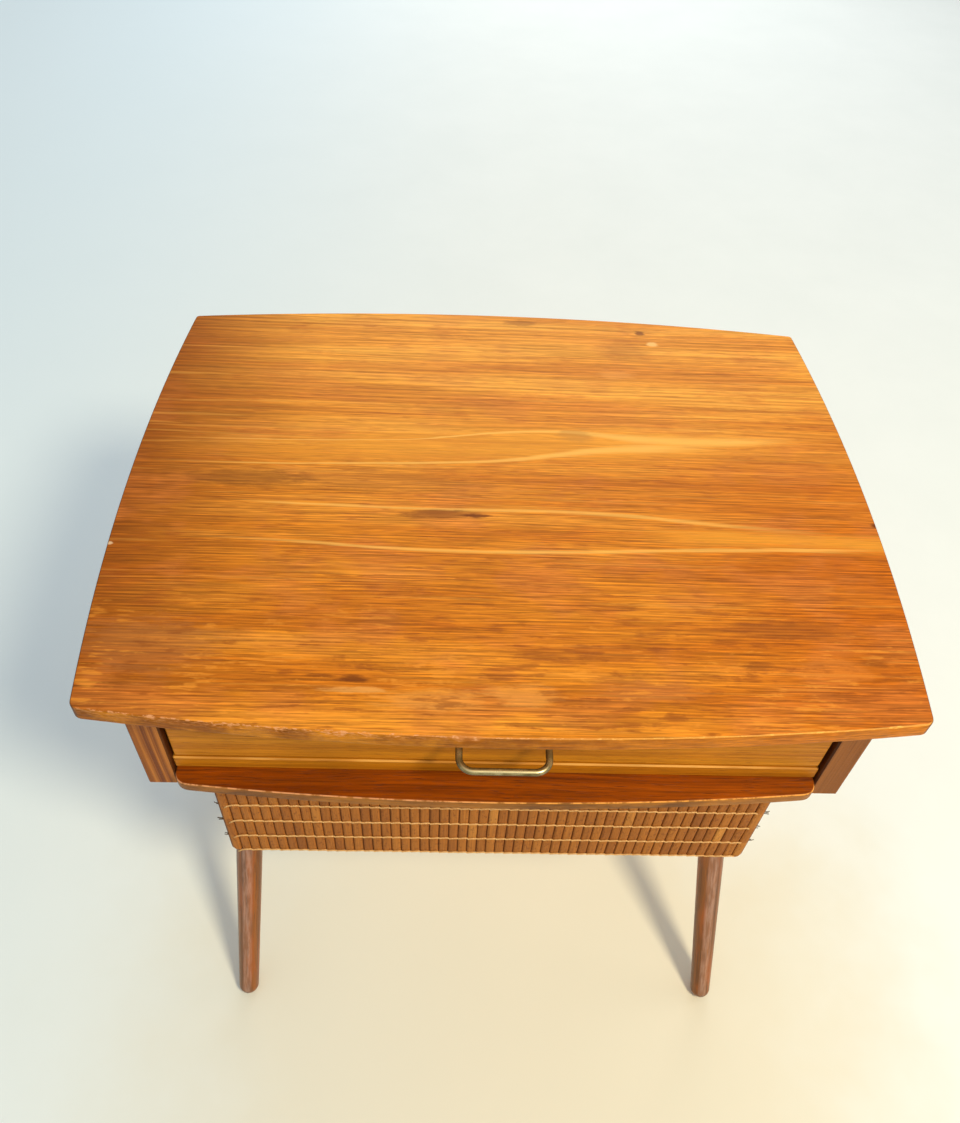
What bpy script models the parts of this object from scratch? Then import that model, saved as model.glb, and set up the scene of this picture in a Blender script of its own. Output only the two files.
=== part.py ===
"""Sewing table: a low case with one drawer, a pull-out woven basket under it and four round legs.

Metres, +Z up, the front faces -Y. The origin is on the floor under the middle of the table.
"""

import math

import bmesh
import bpy
from mathutils import Matrix, Vector

# ---- driving dimensions ----
HEIGHT = 0.520            # floor to the top surface
GAP = 0.0003              # between pieces that touch
SLIDE_GAP = 0.0005        # between pieces that slide on each other
EDGE = 0.0008             # softened edge on sawn pieces
FACE_EDGE = 0.0012        # softened edge on the pieces that face the room
THIN_EDGE = 0.0005        # softened edge on the thin dividers
SPARE = 0.005             # how far a cutter reaches past what it cuts
CUTTER_HALF = 0.4         # half size of the cutters that are as good as planes

TOP_HALF_WIDTH = 0.290    # to a corner, before the edges bow out
TOP_HALF_DEPTH = 0.2222
TOP_BOW_FRONT = 0.0175
TOP_BOW_SIDE = 0.0123
TOP_THICK = 0.0140
TOP_CORNER = 0.003
TOP_EDGE = 0.0013

CASE_FRONT = -0.2077      # front face of the side panels
CASE_BACK = 0.2077
CASE_INNER = 0.2443       # inner face of a side panel
CASE_OUTER = 0.2670
CASE_DROP = 0.1270        # top surface to the panels' lower edge
BACK_THICK = 0.008
BACK_INSET = 0.004        # back panel's set-back from the panels' rear edges

FACE_Y = -0.2047          # drawer front and front rail stand back from the panels
FRONT_RAIL_TOP = 0.0933   # depths below the top surface
FRONT_RAIL_BOTTOM = 0.1070
FRONT_RAIL_DEEP = 0.022
UPPER_RAIL_THICK = 0.008
UPPER_RAIL_DEEP = 0.040
UPPER_RAIL_CLEAR = 0.003   # from the drawer front to the rail behind it

DRAWER_HALF_WIDTH = 0.2420
DRAWER_FRONT_THICK = 0.018
DRAWER_FRONT_LIFT = 0.003  # gap over the front rail
DRAWER_FRONT_CLEAR = 0.0015  # gap under the top
DRAWER_SIDE_THICK = 0.010
DRAWER_SIDE_OUTER = 0.2425
DRAWER_SIDE_TALL = 0.050
DRAWER_BACK_TALL = 0.036
DRAWER_BACK_Y = 0.170
DRAWER_FLOOR_THICK = 0.004
DRAWER_FLOOR_LIFT = 0.004
DIVIDER_THICK = 0.005
DIVIDER_TALL = 0.036
DIVIDER_LONG_Y = 0.010
DIVIDER_CROSS_X = 0.085
RUNNER_WIDE = 0.020
KICKER_WIDE = 0.014
KICKER_TALL = 0.010
STOP_SIZE = 0.014
STOP_INSET = 0.003         # from the side panel

HANDLE_HALF_SPAN = 0.0320
HANDLE_REACH = 0.0315
HANDLE_RADIUS = 0.0026
HANDLE_BEND = 0.0105
HANDLE_DROP = 0.0500      # below the top surface
HANDLE_SCREW_RADIUS = 0.0020
HANDLE_SCREW_HOLE = 0.0024
HANDLE_SCREW_HEAD = 0.0040
HANDLE_SCREW_HEAD_TALL = 0.0024

RIM_THICK = 0.0100
RIM_HALF_WIDTH = 0.2433
RIM_OPENING_HALF = 0.1960
RIM_LIP_CORNER_Y = -0.2180
RIM_LIP_BOW = 0.0120
RIM_CORNER = 0.011
RIM_FRONT_INNER_Y = -0.1885
RIM_BACK_INNER_Y = 0.1500
RIM_BACK_Y = 0.1935
RIM_EDGE = 0.0013

BASKET_FRONT = -0.2051
BASKET_BACK = 0.1655
BASKET_FACE_HALF = 0.2223  # the front mat runs past the sides
BASKET_HALF = 0.2065
BASKET_DROP = 0.2497       # top surface to the basket's underside
MAT_THICK = 0.0040
POST_SIZE = 0.012
BASKET_FLOOR_THICK = 0.005

LEG_RAIL_INNER = 0.2110
LEG_RAIL_OUTER = 0.2620
LEG_RAIL_HALF_LONG = 0.1900
LEG_RAIL_BOTTOM = 0.3790
LEG_FOOT_X = 0.2388
LEG_FOOT_Y = 0.2309
LEG_LEAN_IN = 0.0475      # per unit of height
LEG_LEAN_BACK = 0.575
LEG_FOOT_RADIUS = 0.0100
LEG_SWELL_RADIUS = 0.0127  # where the quick taper towards the foot starts
LEG_SWELL_LENGTH = 0.156
LEG_TOP_RADIUS = 0.0138
LEG_TIP_HEIGHT = 0.0089   # centre of the round tip above the floor
LEG_SEGMENTS = 32
LEG_TIP_STEPS = 6
LEG_SPARE = 0.030         # length that the top cuts take off
DOWEL_RADIUS = 0.0040
DOWEL_HOLE = 0.0043
DOWEL_HALF = 0.0170
SCREW_Y = 0.140
SCREW_X = 0.2550
SCREW_RADIUS = 0.0020
SCREW_HOLE = 0.0023
SCREW_HEAD = 0.0040
SCREW_HEAD_TALL = 0.0030
SCREW_IN_PANEL = 0.022
SCREW_TIP = 0.005          # length of the tapered end

# ---- levels worked out from them ----
TOP_UNDER = HEIGHT - TOP_THICK
CASE_TOP = TOP_UNDER - GAP
CASE_BOTTOM = HEIGHT - CASE_DROP
BACK_FRONT_FACE = CASE_BACK - BACK_INSET - BACK_THICK
RAIL_TOP = HEIGHT - FRONT_RAIL_TOP
RAIL_BOTTOM = HEIGHT - FRONT_RAIL_BOTTOM
DRAWER_BOTTOM = RAIL_TOP + SLIDE_GAP
DRAWER_FRONT_BOTTOM = RAIL_TOP + DRAWER_FRONT_LIFT
DRAWER_FRONT_TOP = TOP_UNDER - DRAWER_FRONT_CLEAR
DRAWER_FRONT_BACK = FACE_Y + DRAWER_FRONT_THICK
RIM_TOP = RAIL_BOTTOM - SLIDE_GAP
RIM_BOTTOM = RIM_TOP - RIM_THICK
LEG_RAIL_TOP = RIM_BOTTOM - SLIDE_GAP
BASKET_TOP = RIM_BOTTOM - GAP
BASKET_BOTTOM = HEIGHT - BASKET_DROP
HANDLE_Z = HEIGHT - HANDLE_DROP
LEG_TOP_Z = LEG_RAIL_BOTTOM - GAP

SIDES = (("left", -1), ("right", 1))
ENDS = (("front", -1), ("rear", 1))

# colour, roughness, metallic
FINISHES = {
    "top_teak": ((0.46, 0.185, 0.045), 0.42, 0.0),
    "panel_teak": ((0.27, 0.105, 0.040), 0.45, 0.0),
    "front_teak": ((0.43, 0.205, 0.055), 0.45, 0.0),
    "lip_teak": ((0.34, 0.095, 0.018), 0.38, 0.0),
    "leg_teak": ((0.21, 0.070, 0.028), 0.35, 0.0),
    "beech": ((0.55, 0.37, 0.20), 0.60, 0.0),
    "plywood": ((0.50, 0.34, 0.19), 0.65, 0.0),
    "splint": ((0.42, 0.20, 0.065), 0.60, 0.0),
    "aged_brass": ((0.30, 0.24, 0.13), 0.38, 1.0),
    "steel": ((0.55, 0.55, 0.54), 0.40, 1.0),
}


def clear_scene():
    for old in list(bpy.data.objects):
        bpy.data.objects.remove(old, do_unlink=True)


def new_collection(name):
    made = bpy.data.collections.new(name)
    bpy.context.scene.collection.children.link(made)
    return made


def make_finish(name):
    colour, roughness, metallic = FINISHES[name]
    made = bpy.data.materials.new(name)
    made.use_nodes = True
    made.diffuse_color = (*colour, 1.0)
    shader = made.node_tree.nodes["Principled BSDF"]
    shader.inputs["Base Color"].default_value = (*colour, 1.0)
    shader.inputs["Roughness"].default_value = roughness
    shader.inputs["Metallic"].default_value = metallic
    return made


clear_scene()
PARTS = new_collection("sewing_table")
CUTTERS = new_collection("cutters")
MATERIALS = {name: make_finish(name) for name in FINISHES}


def add_object(name, data, finish, parent=None):
    """Link one sub-part, with its finish and its slide, if it moves."""
    made = bpy.data.objects.new(name, data)
    PARTS.objects.link(made)
    data.materials.append(MATERIALS[finish])
    if parent is not None:
        made.parent = parent
        made.matrix_parent_inverse = parent.matrix_world.inverted()
    return made


def add_empty(name, place):
    made = bpy.data.objects.new(name, None)
    made.empty_display_size = 0.05
    made.location = place
    PARTS.objects.link(made)
    bpy.context.view_layer.update()
    return made


def soften(piece, width, segments=1):
    """Round the sharp edges."""
    bevel = piece.modifiers.new("soft_edges", "BEVEL")
    bevel.width = width
    bevel.segments = segments
    bevel.limit_method = "ANGLE"
    bevel.angle_limit = math.radians(40)


def block_mesh(name, low, high):
    """A box mesh between two corners, centred on its own origin, and that centre."""
    low = Vector(low)
    high = Vector(high)
    mesh = bpy.data.meshes.new(name)
    box = bmesh.new()
    bmesh.ops.create_cube(box, size=1.0, matrix=Matrix.Diagonal((*(high - low), 1.0)))
    box.to_mesh(mesh)
    box.free()
    return mesh, (low + high) / 2


def block(name, finish, low, high, edge=EDGE, parent=None):
    """A sawn board between two corners."""
    mesh, centre = block_mesh(name, low, high)
    made = add_object(name, mesh, finish, parent)
    made.location = centre
    if edge:
        soften(made, edge)
    return made


def make_cutter(name, mesh, place):
    made = bpy.data.objects.new(name, mesh)
    CUTTERS.objects.link(made)
    made.location = place
    made.hide_render = True
    made.display_type = "WIRE"
    return made


def box_cutter(name, low, high):
    mesh, centre = block_mesh(name, low, high)
    return make_cutter(name, mesh, centre)


def round_mesh(name, radius, length, segments):
    """A cylinder along Z, centred on its own origin."""
    mesh = bpy.data.meshes.new(name)
    rod = bmesh.new()
    bmesh.ops.create_cone(rod, cap_ends=True, segments=segments, radius1=radius, radius2=radius, depth=length)
    rod.to_mesh(mesh)
    rod.free()
    return mesh


def hole_cutter(name, radius, start, end, segments=16):
    """A round cutter from one point to another."""
    start = Vector(start)
    end = Vector(end)
    made = make_cutter(name, round_mesh(name, radius, (end - start).length, segments), (start + end) / 2)
    made.rotation_euler = (end - start).to_track_quat("Z", "Y").to_euler()
    return made


def cut(piece, cutter):
    step = piece.modifiers.new("cut_" + cutter.name, "BOOLEAN")
    step.operation = "DIFFERENCE"
    step.solver = "EXACT"
    step.object = cutter


def turned_mesh(name, profile):
    """Profile points (radius, height), from the top end down the outer side to the bottom end."""
    mesh = bpy.data.meshes.new(name)
    line = bmesh.new()
    made = [line.verts.new((radius, 0.0, height)) for radius, height in profile]
    for upper, lower in zip(made, made[1:]):
        line.edges.new((upper, lower))
    line.to_mesh(mesh)
    line.free()
    return mesh


def turn(piece, segments):
    """Turn the profile about its own Z."""
    screw = piece.modifiers.new("turned", "SCREW")
    screw.axis = "Z"
    screw.angle = math.tau
    screw.steps = segments
    screw.render_steps = segments
    screw.use_merge_vertices = True
    screw.merge_threshold = 0.00001
    screw.use_smooth_shade = True


def flat_outline(name, points, half_thick, finish, parent=None):
    """A flat outline in XY, made as thick as twice half_thick, as a welded mesh."""
    curve = bpy.data.curves.new(name + "_outline", "CURVE")
    curve.dimensions = "2D"
    curve.fill_mode = "BOTH"
    curve.extrude = half_thick
    line = curve.splines.new("POLY")
    line.points.add(len(points) - 1)
    for target, (x, y) in zip(line.points, points):
        target.co = (x, y, 0.0, 1.0)
    line.use_cyclic_u = True
    drawn = bpy.data.objects.new(name + "_outline", curve)
    PARTS.objects.link(drawn)
    bpy.context.view_layer.update()
    mesh = bpy.data.meshes.new_from_object(drawn.evaluated_get(bpy.context.evaluated_depsgraph_get()))
    mesh.name = name
    welded = bmesh.new()
    welded.from_mesh(mesh)
    bmesh.ops.remove_doubles(welded, verts=welded.verts, dist=0.00001)
    bmesh.ops.recalc_face_normals(welded, faces=welded.faces)
    welded.to_mesh(mesh)
    welded.free()
    place = drawn.matrix_world.copy()
    bpy.data.objects.remove(drawn, do_unlink=True)
    made = add_object(name, mesh, finish, parent)
    made.matrix_world = place
    return made


def bowed_edge(start, end, bow, steps):
    """Points from one corner to the next along an edge that bows out to its right."""
    start = Vector(start)
    end = Vector(end)
    along = end - start
    out = Vector((along.y, -along.x)).normalized()
    made = []
    for step in range(steps + 1):
        part = step / steps
        made.append(start + along * part + out * bow * (1 - (2 * part - 1) ** 2))
    return made


def round_corners(edges, radii, steps=3):
    """Join edges, each a list of points, with the corner that starts each one rounded to its radius."""
    points = []
    for index, (edge, radius) in enumerate(zip(edges, radii)):
        corner = edge[0]
        before = edges[index - 1][-2]
        if radius == 0:
            points.extend(edge[:-1])
            continue
        towards_before = (before - corner).normalized()
        towards_next = (edge[1] - corner).normalized()
        for step in range(steps + 1):
            part = step / steps
            first = corner + towards_before * radius * (1 - part)
            second = corner + towards_next * radius * part
            points.append(first.lerp(second, part))
        points.extend(edge[1:-1])
    return [(point.x, point.y) for point in points]


# ---- case ----
def make_top():
    corners = [(-TOP_HALF_WIDTH, -TOP_HALF_DEPTH), (TOP_HALF_WIDTH, -TOP_HALF_DEPTH),
               (TOP_HALF_WIDTH, TOP_HALF_DEPTH), (-TOP_HALF_WIDTH, TOP_HALF_DEPTH)]
    bows = (TOP_BOW_FRONT, TOP_BOW_SIDE, TOP_BOW_FRONT, TOP_BOW_SIDE)
    edges = [bowed_edge(corners[side], corners[(side + 1) % 4], bows[side], 14) for side in range(4)]
    top = flat_outline("tabletop", round_corners(edges, [TOP_CORNER] * 4), TOP_THICK / 2, "top_teak")
    top.location.z = HEIGHT - TOP_THICK / 2
    soften(top, TOP_EDGE, 2)


def make_case():
    for side, sign in SIDES:
        xs = sorted((sign * CASE_INNER, sign * CASE_OUTER))
        panel = block("side_panel_" + side, "panel_teak", (xs[0], CASE_FRONT, CASE_BOTTOM),
                      (xs[1], CASE_BACK, CASE_TOP), FACE_EDGE)
        for end, y_sign in ENDS:
            place = (sign * SCREW_X, y_sign * SCREW_Y)
            pilot = hole_cutter(f"pilot_{end}_{side}", SCREW_HOLE, (*place, CASE_BOTTOM - SPARE),
                                (*place, CASE_BOTTOM + SCREW_IN_PANEL + EDGE))
            cut(panel, pilot)
    half = CASE_INNER - GAP
    block("back_panel", "plywood", (-half, BACK_FRONT_FACE, CASE_BOTTOM),
          (half, BACK_FRONT_FACE + BACK_THICK, CASE_TOP))
    block("front_rail", "front_teak", (-half, FACE_Y, RAIL_BOTTOM),
          (half, FACE_Y + FRONT_RAIL_DEEP, RAIL_TOP), FACE_EDGE)
    rail_low = CASE_TOP - UPPER_RAIL_THICK
    front = DRAWER_FRONT_BACK + UPPER_RAIL_CLEAR
    rear = BACK_FRONT_FACE - GAP
    block("upper_rail_front", "beech", (-half, front, rail_low), (half, front + UPPER_RAIL_DEEP, CASE_TOP))
    block("upper_rail_rear", "beech", (-half, rear - UPPER_RAIL_DEEP, rail_low), (half, rear, CASE_TOP))


def make_runners():
    """What the drawer slides on, is held down by and stops against."""
    front = FACE_Y + FRONT_RAIL_DEEP + GAP
    rear = BACK_FRONT_FACE - GAP
    kicker_front = DRAWER_FRONT_BACK + UPPER_RAIL_CLEAR + UPPER_RAIL_DEEP + GAP
    kicker_rear = rear - UPPER_RAIL_DEEP - GAP
    for side, sign in SIDES:
        outer = sign * (CASE_INNER - GAP)
        xs = sorted((outer, outer - sign * RUNNER_WIDE))
        block("drawer_runner_" + side, "beech", (xs[0], front, RAIL_BOTTOM), (xs[1], rear, RAIL_TOP))
        xs = sorted((outer, outer - sign * KICKER_WIDE))
        block("drawer_kicker_" + side, "beech", (xs[0], kicker_front, CASE_TOP - KICKER_TALL),
              (xs[1], kicker_rear, CASE_TOP))
        inner = outer - sign * STOP_INSET
        xs = sorted((inner, inner - sign * STOP_SIZE))
        stop_front = DRAWER_BACK_Y + GAP
        block("drawer_stop_" + side, "beech", (xs[0], stop_front, RAIL_TOP + GAP),
              (xs[1], stop_front + STOP_SIZE, RAIL_TOP + GAP + STOP_SIZE))


# ---- legs ----
def make_leg_rails():
    """Rails under the side panels: the legs stand under them and the basket slides on them."""
    outline = [(LEG_RAIL_INNER, LEG_RAIL_BOTTOM), (LEG_RAIL_OUTER, LEG_RAIL_BOTTOM),
               (LEG_RAIL_OUTER, CASE_BOTTOM - GAP), (CASE_INNER - GAP, CASE_BOTTOM - GAP),
               (CASE_INNER - GAP, LEG_RAIL_TOP), (LEG_RAIL_INNER, LEG_RAIL_TOP)]
    stand_up = Matrix.Rotation(math.pi / 2, 4, "X")
    for side, sign in SIDES:
        points = [(sign * x, z) for x, z in outline]
        rail = flat_outline("leg_rail_" + side, points, LEG_RAIL_HALF_LONG, "beech")
        rail.matrix_world = stand_up
        soften(rail, EDGE)
        for end, y_sign in ENDS:
            place = (sign * SCREW_X, y_sign * SCREW_Y)
            name = f"{end}_{side}"
            low = LEG_RAIL_BOTTOM - SPARE
            cut(rail, hole_cutter("shank_" + name, SCREW_HOLE, (*place, low), (*place, CASE_BOTTOM + SPARE)))
            cut(rail, hole_cutter("head_" + name, SCREW_HEAD + GAP, (*place, low),
                                  (*place, LEG_RAIL_BOTTOM + SCREW_HEAD_TALL + GAP)))
            top = leg_top(sign, y_sign)
            cut(rail, hole_cutter("dowel_seat_" + name, DOWEL_HOLE, (top.x, top.y, low),
                                  (top.x, top.y, LEG_TOP_Z + DOWEL_HALF + GAP)))
            make_screw("rail_screw_" + name, place)


def make_screw(name, place):
    """A wood screw, head down, up through the rail into the side panel."""
    head_low = LEG_RAIL_BOTTOM + GAP
    tip = CASE_BOTTOM + SCREW_IN_PANEL
    neck = head_low + SCREW_HEAD_TALL
    profile = [(0.0, tip), (SCREW_RADIUS, tip - SCREW_TIP), (SCREW_RADIUS, neck),
               (SCREW_HEAD, neck - SCREW_HEAD_TALL * 0.4), (SCREW_HEAD, head_low), (0.0, head_low)]
    made = add_object(name, turned_mesh(name, profile), "steel")
    made.location = (*place, 0.0)
    turn(made, 16)


def leg_axis(sign, y_sign):
    """The centre of the foot's round tip, and the unit direction up the leg."""
    start = Vector((sign * LEG_FOOT_X, y_sign * LEG_FOOT_Y, LEG_TIP_HEIGHT))
    direction = Vector((-sign * LEG_LEAN_IN, -y_sign * LEG_LEAN_BACK, 1.0)).normalized()
    return start, direction


def leg_top(sign, y_sign):
    start, direction = leg_axis(sign, y_sign)
    return start + direction * ((LEG_TOP_Z - start.z) / direction.z)


def make_legs():
    half = CUTTER_HALF
    floor = box_cutter("floor_plane", (-half, -half, -half), (half, half, 0.0))
    under_rail = box_cutter("rail_plane", (-half, -half, LEG_TOP_Z), (half, half, LEG_TOP_Z + half))
    for end, y_sign in ENDS:
        ys = sorted((y_sign * GAP / 2, -y_sign * half))
        past_middle = box_cutter("middle_plane_" + end, (-half, ys[0], 0.0), (half, ys[1], HEIGHT))
        for side, sign in SIDES:
            start, direction = leg_axis(sign, y_sign)
            length = (LEG_TOP_Z - start.z) / direction.z + LEG_SPARE
            profile = [(0.0, length), (LEG_TOP_RADIUS, length), (LEG_SWELL_RADIUS, LEG_SWELL_LENGTH)]
            for step in range(LEG_TIP_STEPS):
                angle = math.pi / 2 * step / LEG_TIP_STEPS
                profile.append((LEG_FOOT_RADIUS * math.cos(angle), -LEG_FOOT_RADIUS * math.sin(angle)))
            profile.append((0.0, -LEG_FOOT_RADIUS))
            name = f"leg_{end}_{side}"
            leg = add_object(name, turned_mesh(name, profile), "leg_teak")
            leg.location = start
            leg.rotation_euler = direction.to_track_quat("Z", "X").to_euler()
            turn(leg, LEG_SEGMENTS)
            cut(leg, floor)
            cut(leg, under_rail)
            cut(leg, past_middle)
            top = leg_top(sign, y_sign)
            bottom = LEG_TOP_Z - DOWEL_HALF - GAP
            bore = hole_cutter(f"dowel_bore_{end}_{side}", DOWEL_HOLE, (top.x, top.y, bottom),
                               (top.x, top.y, LEG_TOP_Z + SPARE))
            cut(leg, bore)
            name = f"leg_dowel_{end}_{side}"
            dowel = add_object(name, round_mesh(name, DOWEL_RADIUS, 2 * DOWEL_HALF, 16), "beech")
            dowel.location = top


# ---- drawer ----
def make_drawer(slide):
    side_low = DRAWER_BOTTOM
    side_top = side_low + DRAWER_SIDE_TALL
    inner = DRAWER_SIDE_OUTER - DRAWER_SIDE_THICK
    box_front = DRAWER_FRONT_BACK + GAP
    face = block("drawer_front", "front_teak", (-DRAWER_HALF_WIDTH, FACE_Y, DRAWER_FRONT_BOTTOM),
                 (DRAWER_HALF_WIDTH, DRAWER_FRONT_BACK, DRAWER_FRONT_TOP), FACE_EDGE, slide)
    for side, sign in SIDES:
        xs = sorted((sign * inner, sign * DRAWER_SIDE_OUTER))
        block("drawer_side_" + side, "beech", (xs[0], box_front, side_low), (xs[1], DRAWER_BACK_Y, side_top),
              EDGE, slide)
        x = sign * HANDLE_HALF_SPAN
        cut(face, hole_cutter("handle_hole_" + side, HANDLE_SCREW_HOLE, (x, FACE_Y - SPARE, HANDLE_Z),
                              (x, DRAWER_FRONT_BACK + SPARE, HANDLE_Z)))
    half = inner - GAP
    floor_low = side_low + DRAWER_FLOOR_LIFT
    floor_top = floor_low + DRAWER_FLOOR_THICK
    wall_low = floor_top + GAP
    block("drawer_floor", "plywood", (-half, box_front, floor_low),
          (half, DRAWER_BACK_Y, floor_top), 0, slide)
    back_front = DRAWER_BACK_Y - DRAWER_SIDE_THICK
    block("drawer_back", "beech", (-half, back_front, wall_low),
          (half, DRAWER_BACK_Y, wall_low + DRAWER_BACK_TALL), EDGE, slide)
    divider_top = wall_low + DIVIDER_TALL
    long_front = DIVIDER_LONG_Y - DIVIDER_THICK / 2
    block("drawer_divider_long", "beech", (-half, long_front, wall_low),
          (half, long_front + DIVIDER_THICK, divider_top), THIN_EDGE, slide)
    for side, sign in SIDES:
        middle = sign * DIVIDER_CROSS_X
        block("drawer_divider_" + side, "beech", (middle - DIVIDER_THICK / 2, box_front, wall_low),
              (middle + DIVIDER_THICK / 2, long_front - GAP, divider_top), THIN_EDGE, slide)
    make_handle(slide)


def handle_path(steps=6):
    """The middle line of the wire pull, from one foot to the other, flat in XY."""
    foot = FACE_Y - GAP
    front = FACE_Y - HANDLE_REACH
    inner = HANDLE_HALF_SPAN - HANDLE_BEND
    bend = front + HANDLE_BEND
    points = [(-HANDLE_HALF_SPAN, foot)]
    for step in range(steps + 1):
        angle = math.pi / 2 * step / steps
        points.append((-inner - HANDLE_BEND * math.cos(angle), bend - HANDLE_BEND * math.sin(angle)))
    return points + [(-x, y) for x, y in reversed(points)]


def make_handle(slide):
    curve = bpy.data.curves.new("handle", "CURVE")
    curve.dimensions = "3D"
    curve.bevel_depth = HANDLE_RADIUS
    curve.bevel_resolution = 3
    curve.use_fill_caps = True
    points = handle_path()
    wire = curve.splines.new("POLY")
    wire.points.add(len(points) - 1)
    for target, (x, y) in zip(wire.points, points):
        target.co = (x, y, 0.0, 1.0)
    handle = add_object("handle", curve, "aged_brass", slide)
    handle.location = (0.0, 0.0, HANDLE_Z)
    for side, sign in SIDES:
        name = "handle_screw_" + side
        tip = DRAWER_FRONT_THICK - GAP
        head = HANDLE_SCREW_HEAD_TALL
        profile = [(0.0, tip), (HANDLE_SCREW_RADIUS, tip), (HANDLE_SCREW_RADIUS, -GAP),
                   (HANDLE_SCREW_HEAD, -GAP), (HANDLE_SCREW_HEAD, -GAP - head * 0.6),
                   (HANDLE_SCREW_HEAD * 0.6, -GAP - head), (0.0, -GAP - head)]
        screw = add_object(name, turned_mesh(name, profile), "steel", slide)
        screw.location = (sign * HANDLE_HALF_SPAN, DRAWER_FRONT_BACK, HANDLE_Z)
        screw.rotation_euler = (math.pi / 2, 0.0, 0.0)
        turn(screw, 16)


# ---- basket ----
def make_rim(slide):
    """The flat wooden frame that the basket hangs from. Its front board is the bowed pull."""
    corners = [(-RIM_HALF_WIDTH, RIM_LIP_CORNER_Y), (RIM_HALF_WIDTH, RIM_LIP_CORNER_Y),
               (RIM_HALF_WIDTH, RIM_FRONT_INNER_Y), (-RIM_HALF_WIDTH, RIM_FRONT_INNER_Y)]
    edges = [bowed_edge(corners[0], corners[1], RIM_LIP_BOW, 16)]
    edges += [bowed_edge(corners[side], corners[(side + 1) % 4], 0.0, 1) for side in (1, 2, 3)]
    outline = round_corners(edges, (RIM_CORNER, RIM_CORNER, 0.0, 0.0), 4)
    board = flat_outline("basket_rim_front", outline, RIM_THICK / 2, "lip_teak", slide)
    board.location.z += (RIM_TOP + RIM_BOTTOM) / 2
    soften(board, RIM_EDGE, 2)
    side_front = RIM_FRONT_INNER_Y + GAP
    for side, sign in SIDES:
        xs = sorted((sign * RIM_OPENING_HALF, sign * RIM_HALF_WIDTH))
        block("basket_rim_" + side, "lip_teak", (xs[0], side_front, RIM_BOTTOM),
              (xs[1], RIM_BACK_INNER_Y - GAP, RIM_TOP), EDGE, slide)
    block("basket_rim_back", "lip_teak", (-RIM_HALF_WIDTH, RIM_BACK_INNER_Y, RIM_BOTTOM),
          (RIM_HALF_WIDTH, RIM_BACK_Y, RIM_TOP), EDGE, slide)


def make_basket(slide):
    make_rim(slide)
    mat_back = BASKET_FRONT + MAT_THICK
    inner_front = mat_back + GAP
    inner_back = BASKET_BACK - MAT_THICK - GAP
    block("basket_mat_front", "splint", (-BASKET_FACE_HALF, BASKET_FRONT, BASKET_BOTTOM),
          (BASKET_FACE_HALF, mat_back, BASKET_TOP), EDGE, slide)
    block("basket_mat_back", "splint", (-BASKET_HALF, BASKET_BACK - MAT_THICK, BASKET_BOTTOM),
          (BASKET_HALF, BASKET_BACK, BASKET_TOP), EDGE, slide)
    inside = BASKET_HALF - MAT_THICK - GAP
    block("basket_floor", "plywood", (-inside, inner_front, BASKET_BOTTOM),
          (inside, inner_back, BASKET_BOTTOM + BASKET_FLOOR_THICK), EDGE, slide)
    post_low = BASKET_BOTTOM + BASKET_FLOOR_THICK + GAP
    for side, sign in SIDES:
        xs = sorted((sign * (BASKET_HALF - MAT_THICK), sign * BASKET_HALF))
        block("basket_mat_" + side, "splint", (xs[0], inner_front, BASKET_BOTTOM),
              (xs[1], inner_back, BASKET_TOP), EDGE, slide)
        xs = sorted((sign * inside, sign * (inside - POST_SIZE)))
        for end, y_start in (("front", inner_front), ("rear", inner_back - POST_SIZE)):
            block(f"basket_post_{end}_{side}", "beech", (xs[0], y_start, post_low),
                  (xs[1], y_start + POST_SIZE, BASKET_TOP), EDGE, slide)


make_top()
make_case()
make_runners()
make_leg_rails()
make_legs()
make_drawer(add_empty("drawer_slide_axis", (0.0, FACE_Y, RAIL_TOP)))
make_basket(add_empty("basket_slide_axis", (0.0, BASKET_FRONT, RIM_BOTTOM)))
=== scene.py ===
"""Sewing table: its looks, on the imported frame. Metres, +Z up, the front faces -Y."""

import math
import random

import bmesh
import bpy
from mathutils import Matrix, Vector, noise


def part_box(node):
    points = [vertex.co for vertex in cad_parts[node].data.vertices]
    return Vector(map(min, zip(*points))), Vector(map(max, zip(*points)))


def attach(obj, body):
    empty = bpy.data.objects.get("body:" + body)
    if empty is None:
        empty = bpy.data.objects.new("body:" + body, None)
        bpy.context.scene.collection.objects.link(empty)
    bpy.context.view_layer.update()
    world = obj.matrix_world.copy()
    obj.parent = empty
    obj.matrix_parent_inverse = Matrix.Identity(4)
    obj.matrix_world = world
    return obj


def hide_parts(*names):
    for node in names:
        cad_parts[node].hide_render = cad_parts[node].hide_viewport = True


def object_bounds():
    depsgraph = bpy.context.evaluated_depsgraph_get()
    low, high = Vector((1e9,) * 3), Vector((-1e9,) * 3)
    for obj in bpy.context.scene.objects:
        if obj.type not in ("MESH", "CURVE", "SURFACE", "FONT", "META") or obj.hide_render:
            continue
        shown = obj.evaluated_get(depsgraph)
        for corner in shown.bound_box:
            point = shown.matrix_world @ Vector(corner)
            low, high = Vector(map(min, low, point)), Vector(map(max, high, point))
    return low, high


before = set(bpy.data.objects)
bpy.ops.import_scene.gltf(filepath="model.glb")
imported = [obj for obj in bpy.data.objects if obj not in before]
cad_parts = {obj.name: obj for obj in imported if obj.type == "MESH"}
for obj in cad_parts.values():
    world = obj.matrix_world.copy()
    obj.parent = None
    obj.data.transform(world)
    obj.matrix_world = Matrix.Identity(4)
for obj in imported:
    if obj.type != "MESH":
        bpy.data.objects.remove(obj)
CAD_LOW, CAD_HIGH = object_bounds()
X, Y, Z = 0, 1, 2
HIGH_EDGE = CAD_HIGH.z     # level of the tabletop
SIDES = (("left", -1), ("right", 1))
ENDS = (("front", -1), ("rear", 1))

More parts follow.
